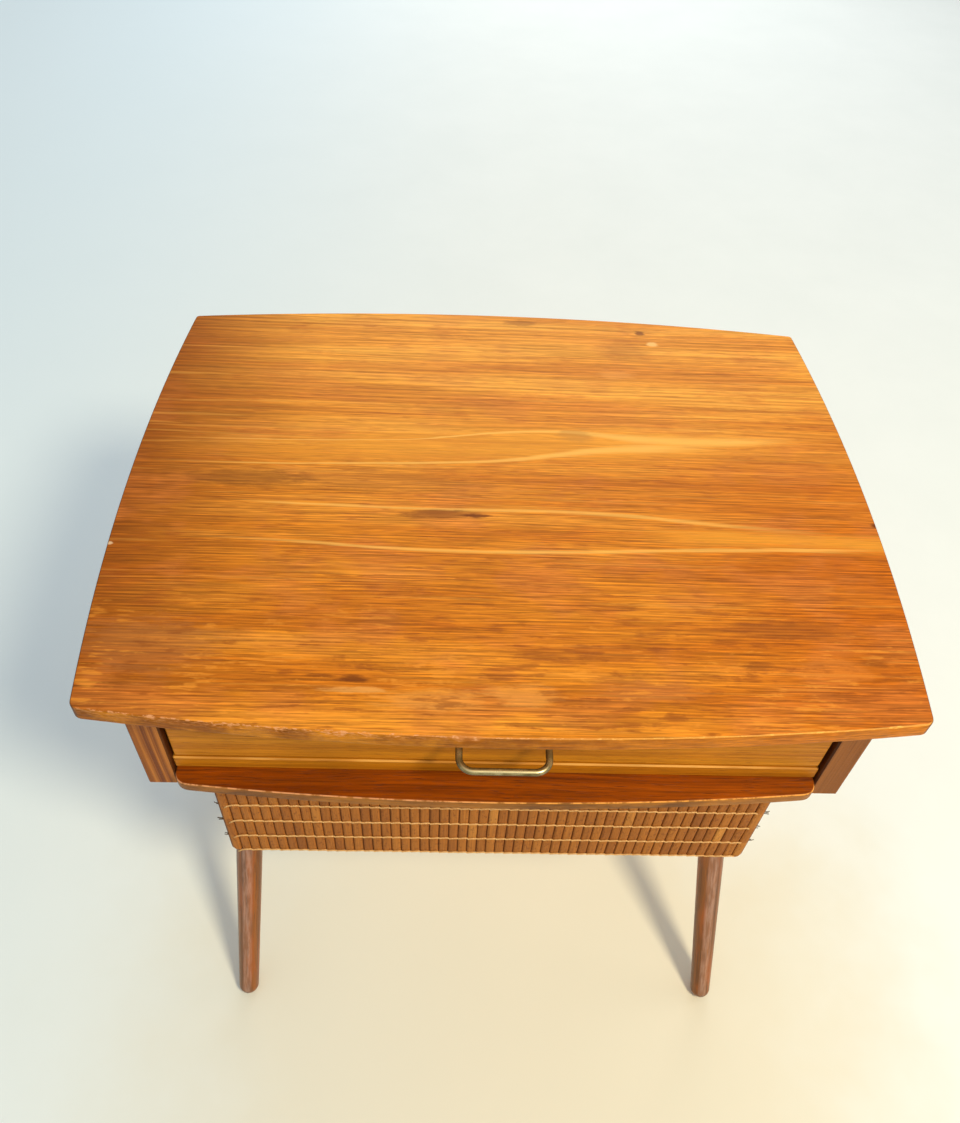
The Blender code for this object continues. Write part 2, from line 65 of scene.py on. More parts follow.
# ---- grain ----
NOISE_LOW = 0.3            # most of a noise lies between these two
NOISE_HIGH = 0.7
STREAK_SPAN = 0.31         # reach of the top's streaks on each side of its middle
NEAR_LINE_PITCH = 0.0031   # grain lines of the top, front and back
FAR_LINE_PITCH = 0.0056

# ---- camera ----
CAMERA_PLACE = Vector((-0.0460, -0.5693, 1.0650))
CAMERA_PITCH = math.radians(48.346)      # looking down
CAMERA_YAW = math.radians(3.236)         # turned towards +X
CAMERA_ROLL = math.radians(3.905)
CAMERA_LENS = 30.73
CAMERA_SENSOR = 36.0

# ---- light ----
AIM = (0.0, 0.0, 0.3)
KEY_PLACE = (1.08, -1.36, 2.45)
KEY_SIZE = 0.55
KEY_POWER = 55.0
KEY_COLOUR = (1.0, 0.90, 0.64)
WINDOW_PLACE = (2.6, 0.6, 1.5)
WINDOW_SIZE = 1.6
WINDOW_POWER = 8.0
WINDOW_COLOUR = (1.0, 0.97, 0.90)
WALL_PLACE = (0.4, 3.4, 1.9)
WALL_SIZE = 2.6
WALL_POWER = 42.0
WALL_COLOUR = (0.93, 0.98, 1.0)
ROOM_COLOUR = (0.93, 1.0, 1.02, 1.0)
ROOM_STRENGTH = 0.49
FLOOR_HALF = 8.0

# ---- tabletop ----
TOP_BOW_FRONT = 0.0175
TOP_BOW_SIDE = 0.0123
TOP_FRONT_CORNER = 0.006
TOP_CORNER = 0.003
TOP_ARRIS = 0.0013
TOP_CHIP_PACE = 90         # chips of the front arris, per metre
TOP_CHIP_DEPTH = 0.0007
TOP_STEPS = 260            # along each bowed side

# ---- basket rim ----
LIP_CORNER_Y = -0.2180
LIP_BOW = 0.0120
LIP_CORNER = 0.011
LIP_ARRIS = 0.0013
LIP_STEPS = 160

# ---- legs ----
LEG_FOOT = (0.2388, 0.2309)
LEG_LEAN_IN = 0.0475       # per unit of height
LEG_LEAN_BACK = 0.575
LEG_FOOT_RADIUS = 0.0100
LEG_SWELL_RADIUS = 0.0127  # where the quick taper towards the foot starts
LEG_SWELL_LENGTH = 0.156
LEG_TOP_RADIUS = 0.0138
LEG_TIP_HEIGHT = 0.0089
LEG_SEGMENTS = 64
LEG_TIP_RINGS = 12
LEG_SPARE = 0.03           # cut off again at the rail

# ---- handle ----
HANDLE_HALF_SPAN = 0.0320
HANDLE_RADIUS = 0.0026
HANDLE_BEND = 0.0105
HANDLE_SIDES = 28
HANDLE_ARM_STEPS = 6
HANDLE_BEND_STEPS = 16
HANDLE_BAR_STEPS = 8       # over half of the bar

# ---- basket mats ----
SPLINT_PITCH = 0.0081
SPLINT_GAP = 0.0008
OUTER_STRIP = 0.0086
BACKING_THICK = 0.0018
SPLINT_THICK = 0.0015
SPLINT_SHORT = 0.0003      # kept clear at both ends
SPLINT_ROOT = BACKING_THICK * 0.8
SPLINT_CROWN = 0.45        # share of the thickness that is lost at the sides
SPLINT_DRAWN_IN = 0.34     # share that is lost under a thread
SPLINT_LIFT = 0.00012
SPLINT_LEAN = 0.00018
SPLINT_TONES = 0.095       # spread of the tone from splint to splint
STRETCH_TONES = 0.105      # and from stretch to stretch of one splint
STRETCH_PARTS = (0.02, 0.08, 0.2, 0.5, 0.8, 0.92, 0.98)
THREAD_RADIUS = 0.00070
THREAD_PITCH = 0.02675
THREAD_SIDES = 8
LOWEST_THREAD = 0.0019     # above a mat's lower edge
FRAY_RADIUS = 0.00032
FRAY_SIDES = 6
MAT_SIDES = (("front", (0, -1, 0)), ("back", (0, 1, 0)), ("left", (-1, 0, 0)), ("right", (1, 0, 0)))
MAT_CORNER = 0.005
MAT_MARGIN = 0.0012        # of the board that shows past the outer splints


def tone(red, green, blue):
    """A display colour from 0 to 255 as a linear one."""
    parts = [value / 255 for value in (red, green, blue)]
    linear = [part / 12.92 if part < 0.04045 else ((part + 0.055) / 1.055) ** 2.4 for part in parts]
    return (*linear, 1.0)


# ---- materials ----
class Graph:
    """The nodes of one material. Each call adds nodes and gives back the socket with the result."""

    def __init__(self, name, roughness, specular=0.3, metallic=0.0):
        self.material = bpy.data.materials.new(name)
        self.material.use_nodes = True
        self.tree = self.material.node_tree
        self.shader = self.tree.nodes["Principled BSDF"]
        self.shader.inputs["Roughness"].default_value = roughness
        self.shader.inputs["Specular IOR Level"].default_value = specular
        self.shader.inputs["Metallic"].default_value = metallic
        source = self.add("ShaderNodeTexCoord")
        self.place = source.outputs["Object"]
        self.normal = source.outputs["Normal"]

    def add(self, kind, **settings):
        made = self.tree.nodes.new(kind)
        for key, value in settings.items():
            setattr(made, key, value)
        return made

    def feed(self, socket, value):
        if isinstance(value, bpy.types.NodeSocket):
            self.tree.links.new(value, socket)
        else:
            socket.default_value = value

    def maths(self, operation, first, second=0.0, third=0.0):
        made = self.add("ShaderNodeMath", operation=operation)
        for socket, value in zip(made.inputs, (first, second, third)):
            self.feed(socket, value)
        return made.outputs[0]

    def times(self, first, second):
        return self.maths("MULTIPLY", first, second)

    def vector(self, operation, first, second=(0.0, 0.0, 0.0)):
        made = self.add("ShaderNodeVectorMath", operation=operation)
        self.feed(made.inputs[0], first)
        self.feed(made.inputs[1], second)
        return made.outputs["Value"] if operation == "LENGTH" else made.outputs[0]

    def parts(self, value):
        """The X, Y and Z of a vector."""
        made = self.add("ShaderNodeSeparateXYZ")
        self.feed(made.inputs[0], value)
        return made.outputs

    def noise(self, place, detail=2.0, rough=0.5, colour=False):
        made = self.add("ShaderNodeTexNoise")
        self.feed(made.inputs["Vector"], place)
        made.inputs["Scale"].default_value = 1.0
        made.inputs["Detail"].default_value = detail
        made.inputs["Roughness"].default_value = rough
        return made.outputs["Color" if colour else "Fac"]

    def scaled(self, place, factors):
        return self.vector("MULTIPLY", place, factors)

    def grain(self, place, axis, along, across, detail=2.0, rough=0.5):
        """Noise that varies slowly along the grain and fast across it."""
        factors = [across, across, across]
        factors[axis] = along
        return self.noise(self.scaled(place, factors), detail, rough)

    def spread(self, value, low, high, to_low=0.0, to_high=1.0, smooth=True):
        """value from low to high, mapped on to_low to to_high and held there."""
        made = self.add("ShaderNodeMapRange", interpolation_type="SMOOTHSTEP" if smooth else "LINEAR")
        for name, number in (("From Min", low), ("From Max", high), ("To Min", to_low),
                             ("To Max", to_high)):
            made.inputs[name].default_value = number
        self.feed(made.inputs["Value"], value)
        return made.outputs["Result"]

    def swing(self, value, to_low, to_high):
        """The usual reach of a noise, mapped on to_low to to_high."""
        return self.spread(value, NOISE_LOW, NOISE_HIGH, to_low, to_high, False)

    def ramp(self, value, stops):
        made = self.add("ShaderNodeValToRGB")
        line = made.color_ramp
        while len(line.elements) < len(stops):
            line.elements.new(0.5)
        for element, (position, colour) in zip(line.elements, stops):
            element.position = position
            element.color = colour
        self.feed(made.inputs["Fac"], value)
        return made.outputs["Color"]

    def mix(self, factor, first, second, blend="MIX"):
        made = self.add("ShaderNodeMix", data_type="RGBA", blend_type=blend)
        self.feed(made.inputs[0], factor)
        self.feed(made.inputs[6], first)
        self.feed(made.inputs[7], second)
        return made.outputs[2]

    def between(self, share, first, second):
        """A number between two others: the first where share is 0, the second where it is 1."""
        made = self.add("ShaderNodeMix", data_type="FLOAT")
        self.feed(made.inputs[0], share)
        self.feed(made.inputs[2], first)
        self.feed(made.inputs[3], second)
        return made.outputs[0]

    def shade(self, colour, value):
        """colour made darker or lighter by a factor."""
        return self.mix(1.0, colour, value, "MULTIPLY")

    def curve(self, value, points, span):
        """A number read off a smooth curve through points, for a value between -span and span."""
        made = self.add("ShaderNodeFloatCurve")
        line = made.mapping.curves[0]
        places = [((x + span) / (2 * span), (y + span) / (2 * span)) for x, y in points]
        while len(line.points) < len(places):
            line.points.new(0.5, 0.5)
        for point, place in zip(line.points, places):
            point.location = place
        made.mapping.update()
        self.feed(made.inputs["Value"], self.maths("MULTIPLY_ADD", value, 1 / (2 * span), 0.5))
        return self.maths("MULTIPLY_ADD", made.outputs[0], 2 * span, -span)

    def finish(self, colour, height=None, depth=0.0002, rough=None):
        self.feed(self.shader.inputs["Base Color"], colour)
        if rough is not None:
            self.feed(self.shader.inputs["Roughness"], rough)
        if height is not None:
            bump = self.add("ShaderNodeBump")
            bump.inputs["Strength"].default_value = 1.0
            bump.inputs["Distance"].default_value = depth
            self.feed(bump.inputs["Height"], height)
            self.feed(self.shader.inputs["Normal"], bump.outputs["Normal"])
        return self.material


def wavering(graph, axis, seed, amount=0.004, pace=5.0):
    """The place on the board, pushed a little across the grain so that the grain wanders."""
    place = graph.vector("ADD", graph.place, (seed, seed * 1.7, seed * 2.3))
    scale = [pace * 2.5, pace * 2.5, pace * 2.5]
    scale[axis] = pace
    push = graph.vector("SUBTRACT", graph.noise(graph.scaled(place, scale), 1.0, 0.5, True),
                        (0.5, 0.5, 0.5))
    strength = [amount, amount, amount]
    strength[axis] = 0.0
    return graph.vector("ADD", place, graph.scaled(push, strength))


def wood_colour(graph, place, axis, dark, light, bands, fibre_depth, pore_depth, pore_colour):
    """The colour and the relief of plain oiled wood, with its bands, fibres and pores."""
    growth = graph.grain(place, axis, 1.3, bands, 3.0, 0.6)
    colour = graph.ramp(growth, ((0.33, dark), (0.67, light)))
    fibre = graph.grain(place, axis, 9.0, 520.0, 3.0, 0.65)
    colour = graph.shade(colour, graph.spread(fibre, 0.28, 0.72, 1 - fibre_depth, 1 + fibre_depth, False))
    pore = graph.spread(graph.grain(place, axis, 55.0, 1500.0, 1.0), 0.60, 0.72)
    colour = graph.mix(graph.times(pore, pore_depth), colour, pore_colour)
    height = graph.maths("SUBTRACT", graph.times(fibre, 0.5), pore)
    return colour, height, fibre


def plain_wood(name, axis, dark, light, pore_colour, roughness, specular, bands, fibre_depth,
               pore_depth, seed, patches, wear_and_highlight):
    """A board's finish with the grain along one axis. The last argument is the colour of a painted
    highlight along its arrises.
    """
    graph = Graph(name, roughness, specular)
    place = wavering(graph, axis, seed)
    colour, height, fibre = wood_colour(graph, place, axis, dark, light, bands, fibre_depth, pore_depth,
                                        pore_colour)
    patch = graph.noise(graph.scaled(place, (9.0, 9.0, 9.0)), 2.0, 0.6)
    colour = graph.shade(colour, graph.swing(patch, 1 - patches, 1 + patches))
    # painted highlight: the last colour laid along the arrises, mottled by the patches
    if wear_and_highlight is not None:
        level = graph.maths("ABSOLUTE", graph.parts(graph.normal)[Z])
        arris = graph.times(graph.spread(level, 0.20, 0.45), graph.spread(level, 0.97, 0.88))
        arris = graph.times(arris, graph.spread(patch, 0.35, 0.60, 0.20, 0.65))
        colour = graph.mix(arris, colour, wear_and_highlight)
    rough = graph.swing(fibre, roughness + 0.08, roughness - 0.06)
    return graph.finish(colour, height, 0.00012, rough)


def streak(graph, x, y, wander, fibre, points, widths, ends):
    """How much of a streak of the grain lies at a place: it has a middle line, half widths and ends."""
    middle = graph.maths("ADD", graph.curve(x, points, STREAK_SPAN),
                         graph.maths("MULTIPLY_ADD", wander, 0.006, -0.003))
    share = graph.maths("DIVIDE", graph.maths("ABSOLUTE", graph.maths("SUBTRACT", y, middle)),
                        graph.curve(x, widths, STREAK_SPAN))
    share = graph.maths("ADD", share, graph.maths("MULTIPLY_ADD", fibre, 2.4, -1.2))
    mask = graph.spread(share, 0.2, 1.5, 1.0, 0.0)
    start, full, fade, stop = ends
    mask = graph.times(mask, graph.spread(x, start, full))
    return graph.times(mask, graph.spread(x, fade, stop, 1.0, 0.0))


def spot(graph, centre, radii, ragged, breakup=0.9):
    """How much of an oval mark lies at a place."""
    offset = graph.vector("SUBTRACT", graph.place, (*centre, 0.0))
    share = graph.vector("LENGTH", graph.scaled(offset, (1 / radii[0], 1 / radii[1], 0.0)))
    share = graph.maths("ADD", share, graph.maths("MULTIPLY_ADD", ragged, breakup, -breakup / 2))
    return graph.spread(share, 0.45, 1.1, 1.0, 0.0)


def top_teak():
    """The table's top: oiled teak, grain from side to side, with its light streaks, stains and wear, and
    painted sheen, shade and highlights.
    """
    graph = Graph("top_teak", 0.46, 0.10)
    x, y, z = graph.parts(graph.place)
    place = wavering(graph, X, 0.0, 0.0028, 3.0)
    near = graph.spread(y, 0.16, -0.06)
    growth = graph.grain(place, X, 3.0, 42.0, 3.0, 0.50)
    # the back's tones are lighter than the front's: partly the board's own tone, partly painted sheen
    back_colour = graph.ramp(growth, ((0.36, tone(212, 130, 40)), (0.50, tone(226, 146, 48)),
                                      (0.64, tone(236, 160, 60))))
    front_colour = graph.ramp(growth, ((0.36, tone(192, 107, 20)), (0.50, tone(206, 122, 27)),
                                       (0.64, tone(217, 135, 40))))
    colour = graph.mix(near, back_colour, front_colour)
    # darker towards the left end: partly the board's own tone, partly painted shade
    colour = graph.mix(graph.spread(x, -0.30, -0.17, 0.95, 0.0, False), colour, tone(147, 75, 10))
    rightward = graph.times(graph.spread(x, 0.08, 0.26), graph.spread(y, 0.20, -0.16))
    colour = graph.mix(graph.times(rightward, 0.80), colour, tone(184, 92, 10))

    # a smoky film and red-brown clouds, mostly over the front of the top
    cloud = graph.noise(graph.scaled(place, (22.0, 46.0, 22.0)), 4.0, 0.66)
    film = graph.noise(graph.scaled(graph.vector("ADD", place, (4.0, 2.0, 0.0)), (15.0, 26.0, 15.0)), 3.0,
                       0.55)
    film_share = graph.times(graph.spread(film, 0.48, 0.66), graph.between(near, 0.25, 0.50))
    colour = graph.mix(film_share, colour, tone(194, 110, 48))
    cloud_share = graph.times(graph.spread(cloud, 0.52, 0.70), graph.between(near, 0.28, 0.30))
    colour = graph.mix(cloud_share, colour, tone(176, 86, 24))

    # the grain: long even lines at the back, short close ones at the front
    far_fibre = graph.grain(place, X, 7.0, 400.0, 2.0, 0.55)
    near_fibre = graph.grain(place, X, 16.0, 760.0, 2.0, 0.60)
    fibre = graph.between(near, far_fibre, near_fibre)
    fine = graph.grain(place, X, 60.0, 900.0, 1.0, 0.6)
    contrast = graph.between(near, 0.62, 1.0)
    depth = graph.times(graph.spread(fibre, 0.35, 0.65, -0.32, 0.26, False), contrast)
    sway = graph.grain(place, X, 4.0, 60.0, 2.0, 0.6)
    across = graph.parts(place)[Y]
    near_line = graph.maths("SINE", graph.maths("MULTIPLY_ADD", across, math.tau / NEAR_LINE_PITCH,
                                                graph.times(sway, 26.0)))
    far_line = graph.maths("SINE", graph.maths("MULTIPLY_ADD", across, math.tau / FAR_LINE_PITCH,
                                               graph.times(sway, 16.0)))
    broken = graph.spread(graph.grain(place, X, 14.0, 190.0, 2.0, 0.6), 0.36, 0.62, 0.02, 0.17)
    depth = graph.maths("MULTIPLY_ADD", graph.between(near, far_line, near_line), broken, depth)
    colour = graph.shade(colour, graph.maths("ADD", depth, 1.0))
    colour = graph.shade(colour, graph.swing(fine, 0.86, 1.12))
    vein = graph.grain(graph.vector("ADD", place, (1.0, 3.0, 0.0)), X, 6.0, 230.0, 2.0, 0.55)
    vein_dark = graph.spread(vein, 0.60, 0.68)
    vein_light = graph.spread(vein, 0.39, 0.32)
    colour = graph.mix(graph.times(vein_dark, graph.between(near, 0.42, 0.30)), colour, tone(168, 88, 20))
    colour = graph.mix(graph.times(vein_light, graph.between(near, 0.24, 0.14)), colour, tone(250, 176, 76))
    dash = graph.grain(graph.vector("ADD", place, (2.0, 5.0, 0.0)), X, 34.0, 420.0, 2.0, 0.6)
    pores = graph.times(graph.spread(dash, 0.58, 0.68), graph.between(near, 0.28, 0.42))
    colour = graph.mix(pores, colour, tone(140, 68, 12))

    # light streaks, from the back of the top to its front
    light = tone(252, 192, 96)
    yellow = tone(240, 164, 52)
    streaks = (
        (((-0.29, 0.032), (0.0, 0.048), (0.12, 0.054), (0.29, 0.058)),
         ((-0.29, 0.01), (0.0, 0.02), (0.13, 0.018), (0.29, 0.006)),
         (-0.3, -0.1, 0.12, 0.26), yellow, 0.4),
        (((-0.29, 0.046), (-0.086, 0.052), (0.052, 0.068), (0.13, 0.06), (0.29, 0.068)),
         ((-0.29, 0.0014), (0.05, 0.0022), (0.13, 0.005), (0.29, 0.002)),
         (-0.3, -0.16, 0.2, 0.27), light, 0.58),
        (((-0.29, 0.017), (-0.126, 0.02), (0.0, 0.029), (0.102, 0.047), (0.29, 0.05)),
         ((-0.29, 0.0014), (0.0, 0.002), (0.13, 0.005), (0.29, 0.003)),
         (-0.3, -0.16, 0.12, 0.2), light, 0.6),
        (((-0.29, -0.024), (-0.082, -0.031), (0.094, -0.032), (0.158, -0.039), (0.29, -0.048)),
         ((-0.29, 0.0012), (0.0, 0.0018), (0.29, 0.0024)),
         (-0.22, -0.16, 0.14, 0.28), light, 0.5),
        (((-0.29, -0.052), (0.1, -0.053), (0.22, -0.055), (0.29, -0.057)),
         ((-0.29, 0.003), (0.12, 0.008), (0.29, 0.009)),
         (0.08, 0.18, 0.3, 0.31), yellow, 0.5),
        (((-0.29, -0.066), (-0.157, -0.069), (-0.08, -0.074), (0.043, -0.074),
          (0.153, -0.068), (0.29, -0.064)),
         ((-0.29, 0.001), (0.0, 0.0018), (0.29, 0.0018)),
         (-0.26, -0.1, 0.24, 0.31), light, 0.56))
    for middle, widths, ends, paint, amount in streaks:
        mask = streak(graph, x, y, growth, fibre, middle, widths, ends)
        colour = graph.mix(graph.times(mask, amount), colour, paint)

    # stains, knots and worn places
    ragged = graph.grain(place, X, 60.0, 260.0, 3.0, 0.65)
    dark = tone(104, 48, 10)
    marks = (
        ((-0.049, -0.036), (0.04, 0.0055), dark, 0.6),
        ((-0.105, -0.195), (0.013, 0.004), dark, 0.8),
        ((-0.128, -0.193), (0.014, 0.002), dark, 0.6),
        ((-0.02, -0.037), (0.016, 0.002), dark, 0.8),
        ((-0.105, -0.204), (0.026, 0.003), tone(228, 160, 84), 0.6),
        ((0.139, 0.218), (0.006, 0.004), dark, 0.75),
        ((0.121, 0.19), (0.024, 0.02), tone(150, 86, 26), 0.3),
        ((0.149, 0.201), (0.006, 0.004), tone(252, 196, 120), 0.75),
        ((0.065, 0.064), (0.018, 0.011), tone(166, 112, 50), 0.38),
        ((0.022, 0.228), (0.018, 0.007), tone(130, 72, 20), 0.5),
        ((0.302, -0.036), (0.006, 0.003), dark, 0.9),
        ((-0.299, -0.076), (0.003, 0.002), tone(248, 214, 170), 0.6),
        ((-0.25, -0.17), (0.06, 0.03), tone(168, 104, 56), 0.4),
        ((-0.1, 0.0), (0.1, 0.014), tone(150, 84, 30), 0.35),
        ((-0.053, -0.211), (0.045, 0.01), tone(240, 164, 76), 0.36),
        ((0.01, -0.206), (0.03, 0.012), tone(240, 166, 80), 0.36),
        ((0.205, -0.145), (0.06, 0.01), tone(136, 70, 24), 0.45),
        ((0.178, -0.178), (0.014, 0.005), tone(112, 54, 20), 0.45),
        ((0.262, -0.172), (0.014, 0.005), tone(112, 54, 16), 0.45),
        ((0.232, -0.18), (0.03, 0.014), tone(214, 126, 50), 0.4),
        ((0.11, 0.15), (0.02, 0.008), tone(236, 160, 78), 0.35),
        ((-0.21, 0.0), (0.06, 0.012), tone(104, 50, 10), 0.4),
        ((0.06, -0.17), (0.07, 0.01), tone(160, 84, 28), 0.35),
        ((0.1, -0.2), (0.05, 0.01), tone(176, 104, 50), 0.4))
    for centre, radii, paint, amount in marks:
        mask = graph.times(spot(graph, centre, radii, ragged, 1.5), amount)
        colour = graph.mix(mask, colour, paint)
    front = graph.spread(y, -0.04, -0.20)
    worn = graph.times(graph.spread(cloud, 0.50, 0.60), front)
    worn = graph.times(worn, graph.spread(dash, 0.47, 0.56))
    colour = graph.mix(graph.times(worn, 0.48), colour, tone(132, 66, 18))
    wear_and_highlight = graph.times(graph.spread(cloud, 0.48, 0.38), front)
    wear_and_highlight = graph.times(wear_and_highlight, graph.spread(dash, 0.50, 0.42))
    colour = graph.mix(graph.times(wear_and_highlight, 0.45), colour, tone(240, 152, 52))

    # the edges: brown and mottled, worn pale in chips along the front arris, with a painted highlight along
    # it that grows towards the right and painted shade on the side edges
    facing = graph.parts(graph.normal)
    edge = graph.spread(graph.maths("ABSOLUTE", facing[Z]), 0.70, 0.40)
    edge_colour = graph.mix(graph.spread(cloud, 0.35, 0.65), tone(150, 82, 8), tone(208, 130, 26))
    edge_colour = graph.mix(graph.spread(x, -0.06, 0.16, 0.0, 0.70), edge_colour, tone(206, 116, 22))
    edge_lines = graph.grain(place, X, 30.0, 620.0, 2.0, 0.65)
    edge_colour = graph.shade(edge_colour, graph.swing(edge_lines, 0.62, 1.26))
    chips = graph.noise(graph.scaled(place, (260.0, 60.0, 900.0)), 3.0, 0.65)
    left_wear = graph.times(graph.spread(x, 0.04, -0.10), graph.spread(chips, 0.46, 0.60))
    left_wear = graph.times(left_wear, graph.spread(z, HIGH_EDGE - 0.010, HIGH_EDGE - 0.002))
    edge_colour = graph.mix(graph.times(left_wear, 0.45), edge_colour, tone(216, 146, 88))
    colour = graph.mix(edge, colour, edge_colour)
    arris = graph.times(graph.spread(facing[Z], 0.97, 0.85), graph.spread(facing[Z], 0.25, 0.50))
    front_arris = graph.times(arris, graph.spread(facing[Y], -0.10, -0.30))
    # painted highlight: the front arris is painted pale, more strongly and more yellow towards the right;
    # the chips add pale wear in spots
    pale = graph.mix(graph.spread(x, -0.05, 0.12), tone(226, 160, 112), tone(255, 190, 92))
    arris_highlight_share = graph.between(graph.spread(x, -0.16, 0.10), 0.0, 0.45)
    colour = graph.mix(graph.times(front_arris, graph.maths("MAXIMUM", graph.spread(chips, 0.46, 0.62, 0.0, 0.85),
                                                    arris_highlight_share)),
                       colour, pale)
    # painted shade: the side edges of the top darkened
    side_edge_shade = graph.spread(graph.maths("ABSOLUTE", facing[X]), 0.25, 0.50)
    colour = graph.mix(graph.times(side_edge_shade, 0.80), colour, tone(92, 48, 16))

    height = graph.maths("SUBTRACT", graph.times(fibre, 0.8), pores)
    return graph.finish(colour, height, 0.00014, graph.swing(fibre, 0.52, 0.40))


def lip_teak(name, axis, worn_front):
    """Rust-orange oiled teak of the basket's frame, worn pale along the front edge of its pull."""
    graph = Graph(name, 0.42, 0.20)
    place = wavering(graph, axis, 3.1, 0.010, 6.0)
    colour, height, fibre = wood_colour(graph, place, axis, tone(116, 49, 0), tone(162, 79, 4), 70.0, 0.42,
                                        0.60, tone(77, 30, 0))
    cloud = graph.noise(graph.scaled(place, (14.0, 30.0, 30.0)), 3.0, 0.6)
    colour = graph.shade(colour, graph.swing(cloud, 0.85, 1.12))
    if worn_front:
        facing = graph.parts(graph.normal)
        x = graph.parts(graph.place)[X]
        frontal = graph.spread(facing[Y], -0.20, -0.70)
        lines = graph.grain(place, axis, 22.0, 620.0, 3.0, 0.65)
        edge = graph.mix(graph.spread(cloud, 0.38, 0.62), tone(115, 65, 9), tone(167, 102, 22))
        edge = graph.shade(edge, graph.swing(lines, 0.62, 1.28))
        colour = graph.mix(frontal, colour, edge)
        arris = graph.times(graph.spread(facing[Z], 0.98, 0.85), graph.spread(facing[Z], 0.15, 0.40))
        arris = graph.times(arris, graph.spread(facing[Y], -0.05, -0.20))
        chips = graph.noise(graph.scaled(place, (170.0, 60.0, 200.0)), 3.0, 0.6)
        pale = graph.mix(graph.spread(x, -0.08, 0.05), tone(226, 156, 104), tone(248, 168, 72))
        colour = graph.mix(graph.times(arris, graph.spread(chips, 0.36, 0.56, 0.15, 0.90)), colour, pale)
    rough = graph.swing(fibre, 0.50, 0.38)
    return graph.finish(colour, height, 0.00012, rough)


def panel_teak():
    """The side panels: upright stripes on their front and rear edges, level grain on their faces, painted
    shade on their rounded edges and inner faces.
    """
    graph = Graph("panel_teak", 0.48, 0.15)
    place = wavering(graph, Z, 7.3, 0.003, 7.0)
    stripe = graph.grain(place, Z, 1.5, 330.0, 2.0, 0.6)
    upright = graph.ramp(stripe,
                         ((0.38, tone(117, 58, 16)), (0.50, tone(156, 87, 26)), (0.62, tone(183, 110, 38))))
    fine = graph.grain(place, Z, 18.0, 700.0, 3.0, 0.6)
    even = graph.spread(graph.parts(graph.place)[X], -0.05, 0.05, 0.0, 0.75)
    upright = graph.mix(even, upright, tone(136, 79, 28))
    upright = graph.shade(upright, graph.swing(fine, 0.84, 1.14))
    along = wavering(graph, Y, 7.3)
    flat, height, fibre = wood_colour(graph, along, Y, tone(140, 62, 14), tone(188, 98, 32), 55.0, 0.18,
                                      0.5, tone(86, 34, 8))
    facing = graph.parts(graph.normal)
    colour = graph.mix(graph.spread(graph.maths("ABSOLUTE", facing[Y]), 0.5, 0.8), flat, upright)
    # painted shade: the panel's rounded edges darkened
    arris = graph.spread(graph.vector("LENGTH", graph.scaled(graph.normal, (1.0, 0.0, 0.0))), 0.80, 0.70)
    both = graph.times(arris, graph.spread(graph.maths("ABSOLUTE", facing[Y]), 0.80, 0.70))
    both = graph.times(both, graph.spread(graph.maths("ABSOLUTE", facing[Z]), 0.80, 0.70))
    colour = graph.mix(graph.times(both, 0.7), colour, tone(84, 42, 18))
    # painted shade: the inner faces of the panels darkened
    inward = graph.times(facing[X], graph.maths("SIGN", graph.parts(graph.place)[X]))
    colour = graph.mix(graph.spread(inward, -0.5, -0.8, 0.0, 0.80), colour, tone(44, 22, 8))
    return graph.finish(colour, height, 0.00012, graph.swing(fibre, 0.54, 0.42))


def leg_teak():
    """Brown lacquered teak, its grain along the lean of the leg, with a painted pale grey highlight on the
    side that faces up and to the front.
    """
    graph = Graph("leg_teak", 0.3, 0.28)
    graph.shader.inputs["Coat Weight"].default_value = 0.3
    graph.shader.inputs["Coat Roughness"].default_value = 0.16
    x, y, z = graph.parts(graph.place)
    along = graph.add("ShaderNodeCombineXYZ")
    graph.feed(along.inputs[0], graph.maths("MULTIPLY_ADD", z, LEG_LEAN_IN, graph.maths("ABSOLUTE", x)))
    graph.feed(along.inputs[1], graph.maths("MULTIPLY_ADD", z, LEG_LEAN_BACK, graph.maths("ABSOLUTE", y)))
    graph.feed(along.inputs[2], graph.maths("MULTIPLY_ADD", graph.maths("SIGN", x), 0.7, z))
    place = along.outputs[0]
    colour, height, fibre = wood_colour(graph, place, Z, tone(96, 52, 15), tone(147, 85, 29), 170.0, 0.32,
                                        0.55, tone(53, 26, 7))
    cloud = graph.grain(place, Z, 14.0, 90.0, 3.0, 0.6)
    colour = graph.mix(graph.spread(cloud, 0.48, 0.64, 0.0, 0.60), colour, tone(172, 86, 18))
    # painted highlight: pale grey, mottled, on the side of the leg that faces up and to the front
    facing = graph.parts(graph.normal)
    up_front_facing = graph.times(graph.maths("ABSOLUTE", facing[Y]), 0.87)
    up_front_facing = graph.maths("MULTIPLY_ADD", facing[Z], 0.50, up_front_facing)
    mottle = graph.grain(place, Z, 60.0, 420.0, 3.0, 0.65)
    painted_highlight = graph.times(graph.spread(up_front_facing, 0.86, 0.99), graph.spread(mottle, 0.38, 0.64, 0.35, 1.0))
    colour = graph.mix(graph.times(painted_highlight, 0.44), colour, tone(204, 164, 146))
    return graph.finish(colour, height, 0.00015, graph.swing(fibre, 0.42, 0.26))


